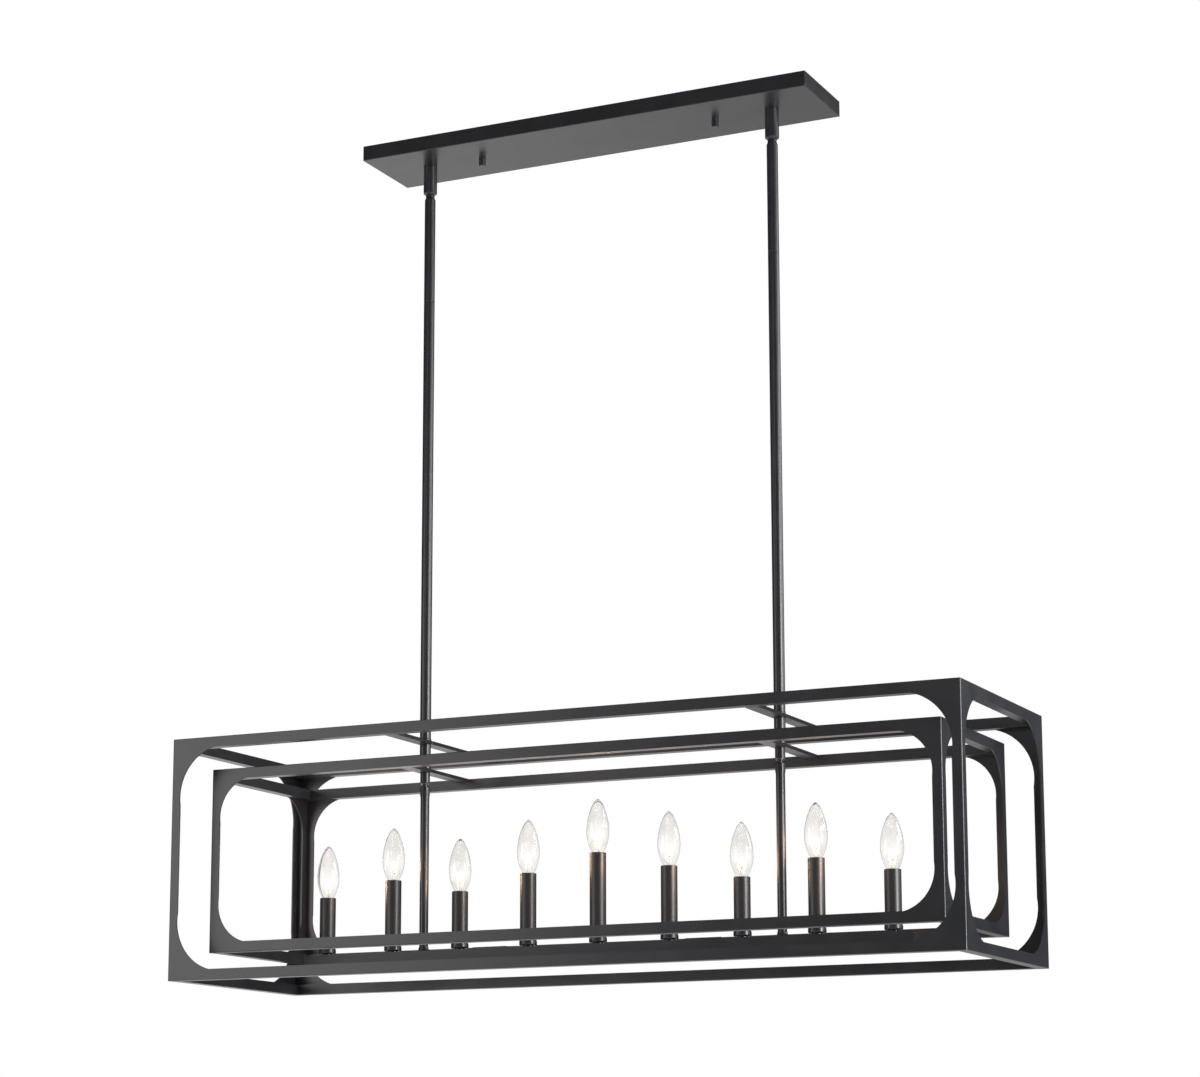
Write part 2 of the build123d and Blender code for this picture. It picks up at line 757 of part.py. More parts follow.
with BuildPart() as socket_posts:
    for spot in candle_spots:
        with BuildSketch(Plane.XY.offset(nut_bottom - post_nut_show)):
            with Locations(spot):
                Circle(pipe_radius)
                Circle(pipe_bore, mode=Mode.SUBTRACT)
        extrude(amount=thread_tops[spot] - nut_bottom + post_nut_show)
socket_posts.part.label = "socket_posts"

# ---------------------------------------------------------------- wiring

# A feed drops through each stem to a trunk along the channel, and a riser climbs to each socket.
trunk_length = 2 * (candles_each_side * candle_pitch + feed_radius)
with BuildPart() as wiring_harness:
    with BuildSketch(Plane.XY.offset(trunk_z)):
        Rectangle(trunk_length, trunk_width)
    extrude(amount=-trunk_height)
    with BuildSketch(Plane.XY.offset(trunk_z)):
        with Locations(*stem_spots):
            Circle(feed_radius)
    extrude(amount=ball_z - trunk_z)
    for spot in candle_spots:
        with BuildSketch(Plane.XY.offset(trunk_z)):
            with Locations(spot):
                Circle(feed_radius)
        extrude(amount=thread_tops[spot] - trunk_z)
wiring_harness.part.label = "wiring_harness"

# A supply lead comes up through each nipple, dips to the canopy's floor and runs to a splice there.
lead_low_z = canopy_floor + feed_radius + lay_gap
splice_z = canopy_floor + splice_radius + lay_gap
splice_x = splice_spacing / 2
with BuildPart() as supply_lead:
    with BuildLine() as lead_line:
        FilletPolyline(
            (stem_x, 0, ball_z + ball_radius + lead_end_gap),
            (stem_x, 0, nipple_top + lead_crest),
            (stem_x - lead_run_out, 0, nipple_top + lead_crest),
            (stem_x - lead_landing, -lead_landing_offset, lead_low_z),
            (splice_x + lead_lift_off, -splice_offset, lead_low_z),
            (splice_x + lead_straight, -splice_offset, splice_z),
            (splice_x, -splice_offset, splice_z),
            radius=lead_bend,
        )
    with BuildSketch(Plane(origin=lead_line.line @ 0, z_dir=lead_line.line % 0)):
        Circle(feed_radius)
    sweep()

with BuildPart() as splice:
    with BuildSketch(Plane.YZ.offset(splice_x)):
        with Locations((-splice_offset, splice_z)):
            Circle(splice_radius)
    with BuildSketch(Plane.YZ.offset(splice_x - splice_length)):
        with Locations((-splice_offset, splice_z)):
            Circle(splice_tip_radius)
    loft()

half_turn = Rot(0, 0, 180)
supply_pieces = [supply_lead.part, splice.part, half_turn * supply_lead.part, half_turn * splice.part]
supply_wiring = Compound(label="supply_wiring", children=supply_pieces)

# ---------------------------------------------------------------- bulbs


def flame_half(shrink):
    """Half of the flame shape, drawn inwards by the amount given: tangent arcs round the belly, the
    upper flank and the tip, and a straight line from the belly down to the neck."""
    tip_centre = bulb_length - bulb_tip_radius
    rise = tip_centre - bulb_belly
    narrowing = bulb_radius - bulb_tip_radius
    flank_radius = (bulb_radius**2 + rise**2 - bulb_tip_radius**2) / (2 * narrowing)
    flank_x = bulb_radius - flank_radius
    flank_angle = math.degrees(math.atan2(rise, -flank_x))
    lower_x = bulb_radius - bulb_lower_radius
    neck = (bulb_neck_radius - shrink, screw_base_length)
    drop = screw_base_length - bulb_belly
    to_neck = math.hypot(neck[0] - lower_x, drop)
    turn = math.acos((bulb_lower_radius - shrink) / to_neck)
    lower_angle = math.degrees(math.atan2(drop, neck[0] - lower_x) + turn)
    belly = CenterArc(
        (lower_x, bulb_belly), bulb_lower_radius - shrink, start_angle=lower_angle, arc_size=-lower_angle
    )
    Line(neck, belly @ 0)
    CenterArc((flank_x, bulb_belly), flank_radius - shrink, start_angle=0, arc_size=flank_angle)
    CenterArc((0, tip_centre), bulb_tip_radius - shrink, start_angle=flank_angle, arc_size=90 - flank_angle)


with BuildPart() as bulb_envelope:
    with BuildSketch(Plane.XZ):
        with BuildLine():
            flame_half(0)
            flame_half(bulb_glass)
            Line((bulb_neck_radius - bulb_glass, screw_base_length), (bulb_neck_radius, screw_base_length))
            Line((0, bulb_length - bulb_glass), (0, bulb_length))
        make_face()
    revolve(axis=Axis.Z)

with BuildPart() as bulb_base:
    with BuildSketch(Plane.XY):
        Circle(contact_radius)
    with BuildSketch(Plane.XY.offset(contact_height)):
        Circle(screw_base_radius)
    loft()
    with BuildSketch(Plane.XY.offset(contact_height)):
        Circle(screw_base_radius)
    extrude(amount=screw_base_length - contact_height)

with BuildPart() as bulb_stem:
    with BuildSketch(Plane.XY.offset(screw_base_length)):
        Circle(glass_stem_radius)
    with BuildSketch(Plane.XY.offset(screw_base_length + glass_stem_length)):
        Circle(glass_stem_tip)
    loft()

# The lead wires and the filament's arch are one bent wire that stands on the glass stem.
stem_tip_z = screw_base_length + glass_stem_length
with BuildPart() as bulb_filament:
    with BuildLine(Plane.XZ) as filament_line:
        FilletPolyline(
            (-lead_wire_foot, stem_tip_z),
            (-lead_wire_foot, stem_tip_z + lead_wire_rise),
            (-lead_wire_spread, stem_tip_z + filament_foot_height),
            (-filament_crown, stem_tip_z + filament_height),
            (filament_crown, stem_tip_z + filament_height),
            (lead_wire_spread, stem_tip_z + filament_foot_height),
            (lead_wire_foot, stem_tip_z + lead_wire_rise),
            (lead_wire_foot, stem_tip_z),
            radius=filament_bend,
        )
    with BuildSketch(Plane(origin=filament_line.line @ 0, z_dir=filament_line.line % 0)):
        Circle(lead_wire_radius)
    sweep()

bulb_seats = {spot: socket_tops[spot] - socket_depth for spot in candle_spots}
for number, spot in enumerate(candle_spots, start=1):
    seat = Pos(spot[0], spot[1], bulb_seats[spot])
    insides = [seat * bulb_stem.part, seat * bulb_filament.part]
    pieces = [seat * bulb_base.part, seat * bulb_envelope.part, *insides]
    bulb = Compound(label=f"bulb_{number}", children=pieces)
    export_step(bulb, f"parts/bulb_{number}.step")

# ---------------------------------------------------------------- files

export_step(canopy.part, "parts/canopy.step")
export_step(mounting_bracket.part, "parts/mounting_bracket.step")
export_step(canopy_studs.part, "parts/canopy_studs.step")
export_step(stud_nuts.part, "parts/stud_nuts.step")
export_step(cap_nuts.part, "parts/cap_nuts.step")
export_step(housing_nipples.part, "parts/housing_nipples.step")
export_step(nipple_nuts.part, "parts/nipple_nuts.step")
export_step(swivel_housings.part, "parts/swivel_housings.step")
export_step(swivel_balls.part, "parts/swivel_balls.step")
export_step(short_rods.part, "parts/short_rods.step")
export_step(long_rods.part, "parts/long_rods.step")
export_step(rod_nipples.part, "parts/rod_nipples.step")
export_step(frame_collars.part, "parts/frame_collars.step")
export_step(frame_nipples.part, "parts/frame_nipples.step")
export_step(spacer_tubes.part, "parts/spacer_tubes.step")
export_step(outer_crossbars.part, "parts/outer_crossbars.step")
export_step(inner_crossbars.part, "parts/inner_crossbars.step")
export_step(lower_couplings.part, "parts/lower_couplings.step")
export_step(row_rod_ferrules.part, "parts/row_rod_ferrules.step")
export_step(row_rods.part, "parts/row_rods.step")
export_step(rod_feet.part, "parts/rod_feet.step")
export_step(socket_channel.part, "parts/socket_channel.step")
export_step(channel_cover.part, "parts/channel_cover.step")
export_step(channel_top_plates.part, "parts/channel_top_plates.step")
export_step(channel_nuts.part, "parts/channel_nuts.step")
export_step(candle_cups.part, "parts/candle_cups.step")
export_step(sleeves_short.part, "parts/sleeves_short.step")
export_step(sleeves_medium.part, "parts/sleeves_medium.step")
export_step(sleeve_tall.part, "parts/sleeve_tall.step")
export_step(candle_sockets.part, "parts/candle_sockets.step")
export_step(socket_posts.part, "parts/socket_posts.step")
export_step(wiring_harness.part, "parts/wiring_harness.step")
export_step(supply_wiring, "parts/supply_wiring.step")
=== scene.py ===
import json
import math

import bpy
import numpy as np
from bpy.props import FloatProperty, FloatVectorProperty, IntProperty, PointerProperty
from mathutils import Matrix, Vector

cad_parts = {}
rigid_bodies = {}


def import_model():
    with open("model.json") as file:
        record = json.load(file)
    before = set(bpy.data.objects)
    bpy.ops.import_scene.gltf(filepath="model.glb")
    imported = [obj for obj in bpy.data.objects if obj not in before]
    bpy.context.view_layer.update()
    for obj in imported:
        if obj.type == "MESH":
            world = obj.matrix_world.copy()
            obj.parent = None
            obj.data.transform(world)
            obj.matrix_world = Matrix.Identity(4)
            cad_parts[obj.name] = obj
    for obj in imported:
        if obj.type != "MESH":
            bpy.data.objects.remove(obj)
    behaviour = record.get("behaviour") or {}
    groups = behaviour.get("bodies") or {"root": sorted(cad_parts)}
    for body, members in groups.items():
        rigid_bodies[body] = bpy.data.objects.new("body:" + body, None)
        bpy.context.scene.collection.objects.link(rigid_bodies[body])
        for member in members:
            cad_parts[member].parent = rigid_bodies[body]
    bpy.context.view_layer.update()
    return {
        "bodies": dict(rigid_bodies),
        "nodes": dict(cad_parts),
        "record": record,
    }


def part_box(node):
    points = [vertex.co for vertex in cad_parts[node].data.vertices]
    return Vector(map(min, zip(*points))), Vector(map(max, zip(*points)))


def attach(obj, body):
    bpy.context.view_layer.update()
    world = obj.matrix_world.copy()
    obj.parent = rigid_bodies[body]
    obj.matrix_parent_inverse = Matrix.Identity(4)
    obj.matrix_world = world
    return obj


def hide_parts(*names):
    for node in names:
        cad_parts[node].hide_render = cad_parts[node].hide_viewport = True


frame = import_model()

# Linear island pendant: satin black cages and stems, turned fittings and nine lit candle lamps.
# Metres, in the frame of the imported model: the ceiling is z = 0, +X runs along the fixture to the
# right and -Y is its front. A length among the settings is given in millimetres, and any other
# small size in millimetres times MM.

bl_info = {
    "name": "Linear Island Pendant",
    "version": (1, 0, 0),
    "blender": (4, 5, 0),
    "location": "View3D > Sidebar > Pendant",
    "description": "Finishes, turned fittings and lit candle lamps of a linear island pendant",
    "category": "Object",
}

MM = 0.001
CEILING = "ceiling_group"
HANGING = "pendant"
STEEL = "satin_black"
LAMPS = sorted(name for name in frame["bodies"] if name.startswith("bulb_"))
SLOT_OF = {part["node"]: part["material_slot"] for part in frame["record"]["subparts"]}
WHITE = (1.0, 1.0, 1.0, 1.0)
BLACK = (0.0, 0.0, 0.0, 1.0)


# ---------------------------------------------------------------- places in the frame


def row_of(node, count=2):
    """Like round parts that stand in a row along X: their radius, the x of each axis, and their
    lowest and highest z."""
    low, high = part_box(node)
    radius = (high.y - low.y) / 2
    return radius, np.linspace(low.x + radius, high.x - radius, count), low.z, high.z


# ---------------------------------------------------------------- shader maths


class Wire:
    """A socket of a node tree. Arithmetic on it adds Math nodes and node() adds any other one."""

    def __init__(self, tree, socket=None):
        self.tree = tree
        self.socket = socket

    def node(self, kind, settings=None, inputs=None, output=0):
        """Add a node: its settings first, then the values or links of its sockets."""
        made = self.tree.nodes.new(kind)
        for name, value in (settings or {}).items():
            setattr(made, name, value)
        for name, value in (inputs or {}).items():
            if isinstance(value, Wire):
                self.tree.links.new(value.socket, made.inputs[name])
            else:
                made.inputs[name].default_value = value
        return Wire(self.tree, made.outputs[output] if made.outputs else None)

    def maths(self, operation, *values):
        return self.node("ShaderNodeMath", {"operation": operation}, dict(enumerate(values)))

    def __add__(self, other):
        return self.maths("ADD", self, other)

    def __radd__(self, other):
        return self.maths("ADD", other, self)

    def __sub__(self, other):
        return self.maths("SUBTRACT", self, other)

    def __rsub__(self, other):
        return self.maths("SUBTRACT", other, self)

    def __mul__(self, other):
        return self.maths("MULTIPLY", self, other)

    def __rmul__(self, other):
        return self.maths("MULTIPLY", other, self)

    def __pow__(self, other):
        return self.maths("POWER", self, other)

    def __rpow__(self, other):
        return self.maths("POWER", other, self)

    def smoothstep(self, start, end):
        """0 up to start, 1 from end on, and a soft S curve between."""
        span = {"interpolation_type": "SMOOTHSTEP"}
        return self.node("ShaderNodeMapRange", span, {"Value": self, "From Min": start, "From Max": end})

    def mix(self, first, second):
        """A colour: first where this value is 0, second where it is 1."""
        inputs = {0: self, 6: first, 7: second}
        return self.node("ShaderNodeMix", {"data_type": "RGBA"}, inputs, output=2)

    def bump(self, strength, distance):
        """The normal of a surface with this relief, whose full height is distance."""
        return self.node("ShaderNodeBump", {}, {"Strength": strength, "Distance": distance, "Height": self})

    def noise(self, place, scale, detail=2.0):
        """Soft random patches, scale of them to the metre."""
        inputs = {"Vector": place, "Scale": scale, "Detail": detail}
        return self.node("ShaderNodeTexNoise", {}, inputs, output="Fac")

    def stretched(self, scale):
        """These coordinates times a scale along each axis, under 1 where the pattern is drawn out."""
        return self.node("ShaderNodeMapping", {}, {"Vector": self, "Scale": scale})

    def place(self):
        """Object coordinates, in metres."""
        return self.node("ShaderNodeTexCoord", output="Object")


def tint(colour, share):
    """A colour as four numbers, its three channels times share."""
    return (*(channel * share for channel in colour[:3]), 1.0)


def new_finish(name):
    """The material of this name, new or of the frame, emptied, as the wire to build it with."""
    finish = bpy.data.materials.get(name) or bpy.data.materials.new(name)
    finish.use_nodes = True
    finish.node_tree.nodes.clear()
    return Wire(finish.node_tree)


def close(wire, inputs):
    """Give a finish its one principled shader, with these inputs."""
    shader = wire.node("ShaderNodeBsdfPrincipled", {}, inputs)
    wire.node("ShaderNodeOutputMaterial", {}, {"Surface": shader})


# ---------------------------------------------------------------- finishes


def powder_coat(name, colour, roughness, coat):
    """Satin powder coat: orange peel in the bump, and faint patches in the colour and the gloss.

    The peaks of the powder's grain are paler than the coat, like dust, and the grain adds to the
    relief.
    """
    dust_share, grain_relief = 0.35, 0.35
    wire = new_finish(name)
    place = wire.place()
    patches = wire.noise(place, coat.patches_per_metre, 3.0)
    peel = wire.noise(place, 1.0 / coat.peel_size)
    grain = wire.noise(place, 1.0 / coat.grain_size, 3.0)
    dust = grain.smoothstep(0.62, 0.74) * dust_share
    body = patches.smoothstep(0.3, 0.7).mix(tint(colour, 0.9), tint(colour, 1.12))
    inputs = {
        "Base Color": dust.mix(body, tint(colour, 1.9)),
        "Roughness": roughness + (patches - 0.5) * 0.10 + (grain - 0.5) * 0.12,
        "IOR": coat.gloss_index,
        "Normal": (peel + grain * grain_relief).bump(0.3, coat.peel_height),
    }
    close(wire, inputs)


def zinc_plate(name, colour):
    """Zinc plate: brushed along X, with cloudy spangles in its colour and roughness."""
    lines_per_metre, spangles_per_metre = 2400.0, 60.0
    wire = new_finish(name)
    place = wire.place()
    brushed = wire.noise(place.stretched((0.06, 1.0, 1.0)), lines_per_metre, 3.0)
    clouds = wire.noise(place, spangles_per_metre, 3.0)
    inputs = {
        "Base Color": clouds.smoothstep(0.3, 0.7).mix(tint(colour, 0.8), tint(colour, 1.1)),
        "Metallic": 1.0,
        "Roughness": 0.30 + clouds * 0.12 + brushed * 0.08,
        "Normal": brushed.bump(0.3, 0.02 * MM),
    }
    close(wire, inputs)


def moulded(name, colour, roughness, speckles):
    """Moulded plastic: a fine matt skin with mottled filler in it, speckles of it to the metre."""
    pores_per_metre = 5000.0
    wire = new_finish(name)
    place = wire.place()
    mottle = wire.noise(place, speckles, 4.0)
    skin = wire.noise(place, pores_per_metre)
    inputs = {
        "Base Color": mottle.smoothstep(0.35, 0.7).mix(tint(colour, 0.85), tint(colour, 1.25)),
        "Roughness": roughness + (skin - 0.5) * 0.15,
        "Normal": skin.bump(0.25, 0.03 * MM),
    }
    close(wire, inputs)


def clear_glass(name, colour, rim, streaks_per_metre, lamps=None):
    """Blown glass: clear face on, with painted grey shade along its rim, and faint streaks drawn out along
    its height.

    Given the lamps, it also has a painted glow, an emission on its wall where the filament's light would
    catch it.
    The share is exp(-((rise - glow height) / glow reach)^2) times one that grows from rim to centre.
    """
    rim_shade_sharpness = 5.0
    wire = new_finish(name)
    streaks = wire.noise(wire.place().stretched((1.0, 1.0, 0.12)), streaks_per_metre)
    edge = wire.node("ShaderNodeLayerWeight", {}, {"Blend": 0.35}, output="Facing")
    clear = streaks.smoothstep(0.35, 0.7).mix(tint(colour, 1.0), tint(colour, 0.94))
    inputs = {
        # Painted shade: the colour turns to the rim colour where the glass is seen edge on, in place of
        # dark reflections along its rim.
        "Base Color": (edge ** rim_shade_sharpness).mix(clear, tint(rim, 1.0)),
        "Roughness": 0.0,
        "IOR": 1.45,
        "Transmission Weight": 1.0,
        "Normal": streaks.bump(0.03, 0.05 * MM),
    }
    if lamps:
        # Painted glow: emission on the glass in a band round the filament's height, strongest face on, in
        # place of the filament's glare.
        rise = wire.node("ShaderNodeAttribute", {"attribute_name": "rise"}, output="Fac")
        offset = (rise - lamps.painted_glow_height) * (1.0 / lamps.painted_glow_reach)
        painted_glow = (math.e ** (0.0 - offset * offset)) * ((1.0 - edge).smoothstep(0.25, 0.95))
        inputs["Emission Color"] = painted_glow.mix(BLACK, tint(lamps.painted_glow_colour, 1.0))
        inputs["Emission Strength"] = lamps.painted_glow_strength
    close(wire, inputs)


def hot_wire(name, colour, strength):
    """Incandescent wire: brightest in patches where the coil runs hottest."""
    patches_per_metre = 400.0
    wire = new_finish(name)
    glow = wire.noise(wire.place(), patches_per_metre).mix(tint(colour, 0.85), tint(colour, 1.0))
    close(wire, {"Base Color": tint(colour, 0.5), "Emission Color": glow, "Emission Strength": strength})


def drawn_wire(name, colour):
    """Drawn nickel wire with dull patches."""
    patches_per_metre = 900.0
    wire = new_finish(name)
    dull = wire.noise(wire.place(), patches_per_metre, 3.0)
    shade = dull.mix(tint(colour, 0.6), tint(colour, 1.0))
    close(wire, {"Base Color": shade, "Metallic": 1.0, "Roughness": 0.25 + dull * 0.25})


# ---------------------------------------------------------------- surfaces


def cubic(points, count):
    """Points on a cubic curve with four control points: the sum of the Bernstein weights
    (1 - t)^3, 3 (1 - t)^2 t, 3 (1 - t) t^2 and t^3 times the points, for t from 0 to 1."""
    share = np.linspace(0, 1, count)[:, None]
    rest = 1 - share
    weights = np.hstack([rest**3, 3 * rest**2 * share, 3 * rest * share**2, share**3])
    return weights @ np.asarray(points, float)


def ease(share):
    """0 up to a share s of 0, 1 from 1 on, and 3 s^2 - 2 s^3 between."""
    share = np.clip(share, 0, 1)
    return 3 * share**2 - 2 * share**3


def softened(corners, radii, steps=5):
    """A closed profile with round corners.

    Each corner (r, z) becomes an arc that is tangent to both of its sides: with half the corner's
    inside angle h, the arc starts radius / tan(h) along each side and its centre is radius / sin(h)
    along the bisector. The unit vector from the centre turns evenly from one tangent point to the
    other. One more point a little way along each side keeps the flats flat in the shading.
    """
    corner = np.asarray(corners, float)
    radius = np.broadcast_to(np.asarray(radii, float), len(corner))[:, None]
    back = np.roll(corner, 1, axis=0) - corner
    ahead = np.roll(corner, -1, axis=0) - corner
    back /= np.linalg.norm(back, axis=1, keepdims=True)
    ahead /= np.linalg.norm(ahead, axis=1, keepdims=True)
    half = np.arccos(np.clip((back * ahead).sum(axis=1, keepdims=True), -1, 1)) / 2
    bisector = (back + ahead) / np.linalg.norm(back + ahead, axis=1, keepdims=True)
    centre = corner + bisector * radius / np.sin(half)
    first = corner + back * radius / np.tan(half)
    last = corner + ahead * radius / np.tan(half)
    sweep = (np.pi - 2 * half)[:, :, None]
    share = np.linspace(0, 1, steps + 1)[None, :, None]
    from_first = np.sin((1 - share) * sweep) * (first - centre)[:, None]
    from_last = np.sin(share * sweep) * (last - centre)[:, None]
    arcs = centre[:, None] + (from_first + from_last) / np.sin(sweep)
    lead = radius * 0.3
    rows = np.concatenate([(first + back * lead)[:, None], arcs, (last + ahead * lead)[:, None]], axis=1)
    return rows.reshape(-1, 2)


def quads_of(rows, columns, closed=False):
    """The quads of a grid of points whose columns close round, and its rows too if it is closed."""
    row, column = np.meshgrid(np.arange(rows if closed else rows - 1), np.arange(columns), indexing="ij")
    here, below, beside = row * columns, (row + 1) % rows * columns, (column + 1) % columns
    quads = [here + column, here + beside, below + beside, below + column]
    return np.stack(quads, axis=-1).reshape(-1, 4)


def revolved(profile, steps, centres=((0.0, 0.0),), closed=False):
    """Vertices and quads of a profile (r, z) turned about a vertical axis at each centre (x, y).

    Vertex (i, j) of a copy is (x + r_i cos a_j, y + r_i sin a_j, z_i) with a_j = 2 pi j / steps. A
    closed profile makes a ring; an open one starts and ends at r = 0, and those rows are merged
    into poles when the mesh is made.
    """
    profile = np.asarray(profile, float)
    angle = 2 * np.pi * np.arange(steps) / steps
    ring_x = profile[:, 0, None] * np.cos(angle)
    ring_y = profile[:, 0, None] * np.sin(angle)
    ring_z = np.repeat(profile[:, 1, None], steps, axis=1)
    copy = np.stack([ring_x, ring_y, ring_z], axis=-1).reshape(-1, 3)
    quads = quads_of(len(profile), steps, closed)
    return join(*((copy + (x, y, 0.0), quads) for x, y in centres))


def tube_along(path, radius, side, sides=8):
    """Vertices and quads of a round tube along a path of points, closed by its two end rings.

    side is a direction at each point that is never along the path. With t the path's direction,
    u = t x side and v = u x t, the ring at a point is point + radius (u cos a + v sin a). The first
    and last rings shrink to their own centres, so that the ends are closed.
    """
    path = np.asarray(path, float)
    path = np.concatenate([path[:1], path, path[-1:]])
    side = np.broadcast_to(side, (len(path) - 2, 3))
    side = np.concatenate([side[:1], side, side[-1:]])
    along = np.gradient(path[1:-1], axis=0)
    along = np.concatenate([along[:1], along, along[-1:]])
    along /= np.linalg.norm(along, axis=1, keepdims=True)
    across = np.cross(along, side)
    across /= np.linalg.norm(across, axis=1, keepdims=True)
    upward = np.cross(across, along)
    width = np.full((len(path), 1, 1), radius)
    width[[0, -1]] = 0.0
    angle = (2 * np.pi * np.arange(sides) / sides)[None, :, None]
    ring = path[:, None] + width * (across[:, None] * np.cos(angle) + upward[:, None] * np.sin(angle))
    return ring.reshape(-1, 3), quads_of(len(path), sides)


def join(*surfaces):
    """Several (vertices, quads) as one."""
    starts = np.cumsum([0] + [len(vertices) for vertices, _ in surfaces[:-1]])
    vertices = np.concatenate([vertices for vertices, _ in surfaces])
    quads = np.concatenate([quads + start for (_, quads), start in zip(surfaces, starts)])
    return vertices, quads


def new_object(name, data):
    """An object of this name and data, in the scene."""
    made = bpy.data.objects.new(name, data)
    bpy.context.scene.collection.objects.link(made)
    return made


def new_piece(name, surface, finish, body, nodes):
    """A mesh object from (vertices, quads) that rides on a body and stands for CAD nodes.

    Quads whose signed volumes, p0 . (p1 x p2) / 6 and p0 . (p2 x p3) / 6, add up to less than
    nothing are turned over, so that faces point outwards. Doubled points are merged. A corner
    equal to the one before it is then left out, and so is a face with fewer than three corners.
    """
    vertices, quads = surface
    centred = vertices - vertices.mean(axis=0)
    p0, p1, p2, p3 = (centred[quads[:, k]] for k in range(4))
    volume = np.einsum("ij,ij->", p0, np.cross(p1, p2)) + np.einsum("ij,ij->", p0, np.cross(p2, p3))
    if volume < 0:
        quads = quads[:, ::-1]
    _, keeper, merged = np.unique(np.round(vertices, 8), axis=0, return_index=True, return_inverse=True)
    quads = merged.reshape(-1)[quads]
    kept = quads != np.roll(quads, 1, axis=1)
    whole = kept.sum(axis=1) > 2
    quads, kept = quads[whole], kept[whole]
    sizes = kept.sum(axis=1)
    mesh = bpy.data.meshes.new(name)
    mesh.vertices.add(len(keeper))
    mesh.vertices.foreach_set("co", vertices[keeper].reshape(-1))
    mesh.loops.add(sizes.sum())
    mesh.loops.foreach_set("vertex_index", quads[kept])
    mesh.polygons.add(len(sizes))
    mesh.polygons.foreach_set("loop_start", np.cumsum(sizes) - sizes)
    mesh.polygons.foreach_set("use_smooth", np.ones(len(sizes), bool))
    mesh.materials.append(bpy.data.materials[finish])
    mesh.update(calc_edges=True)
    piece = new_object(name, mesh)
    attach(piece, body)
    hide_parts(*nodes)
    return piece


# ---------------------------------------------------------------- settings


def length(name, description, millimetres):
    """A size that a user can set, with its default in millimetres."""
    return FloatProperty(name=name, description=description, default=millimetres * MM, unit="LENGTH")


def amount(name, description, default, **limits):
    """A number that a user can set, from 0 up unless its limits say otherwise."""
    return FloatProperty(name=name, description=description, default=default, **{"min": 0.0, **limits})


def rgb(name, description, default):
    """A colour that a user can set, as three channels from 0 to 1."""
    return FloatVectorProperty(
        name=name, description=description, default=default, min=0.0, max=1.0, subtype="COLOR",
    )


class PendantCoat(bpy.types.PropertyGroup):
    """The finish of the steel and of the small parts."""

    steel_colour: rgb("Steel colour", "Powder coat of cages, stems and canopy", (0.0108, 0.0113, 0.0140))
    # The sleeve colour is the black paint with a painted warm tint that stands for the bulbs' light on it.
    sleeve_warm_lit_colour: rgb("Sleeve colour", "Paint of the candle sleeves", (0.0145, 0.0125, 0.0125))
    steel_roughness: amount("Steel roughness", "Satin of the powder coat", 0.32, max=1.0)
    sleeve_roughness: amount("Sleeve roughness", "Satin of the sleeves", 0.40, max=1.0)
    gloss_index: amount("Gloss index", "Refractive index of the coat's surface", 1.5, min=1.0, max=2.0)
    patches_per_metre: amount("Patches", "Faint patches of colour and gloss to the metre", 22.0, min=1.0)
    peel_size: length("Orange peel", "Size of the coat's ripples", 1.4)
    peel_height: length("Ripple height", "Height of the coat's ripples", 0.025)
    grain_size: length("Grain", "Size of the powder's grain", 0.35)
    zinc_colour: rgb("Zinc colour", "Plating of the hidden hardware", (0.62, 0.62, 0.60))
    socket_colour: rgb("Socket colour", "Phenolic of the lamp sockets", (0.05, 0.045, 0.04))
    wire_colour: rgb("Wire colour", "Insulation of the wires", (0.70, 0.69, 0.66))


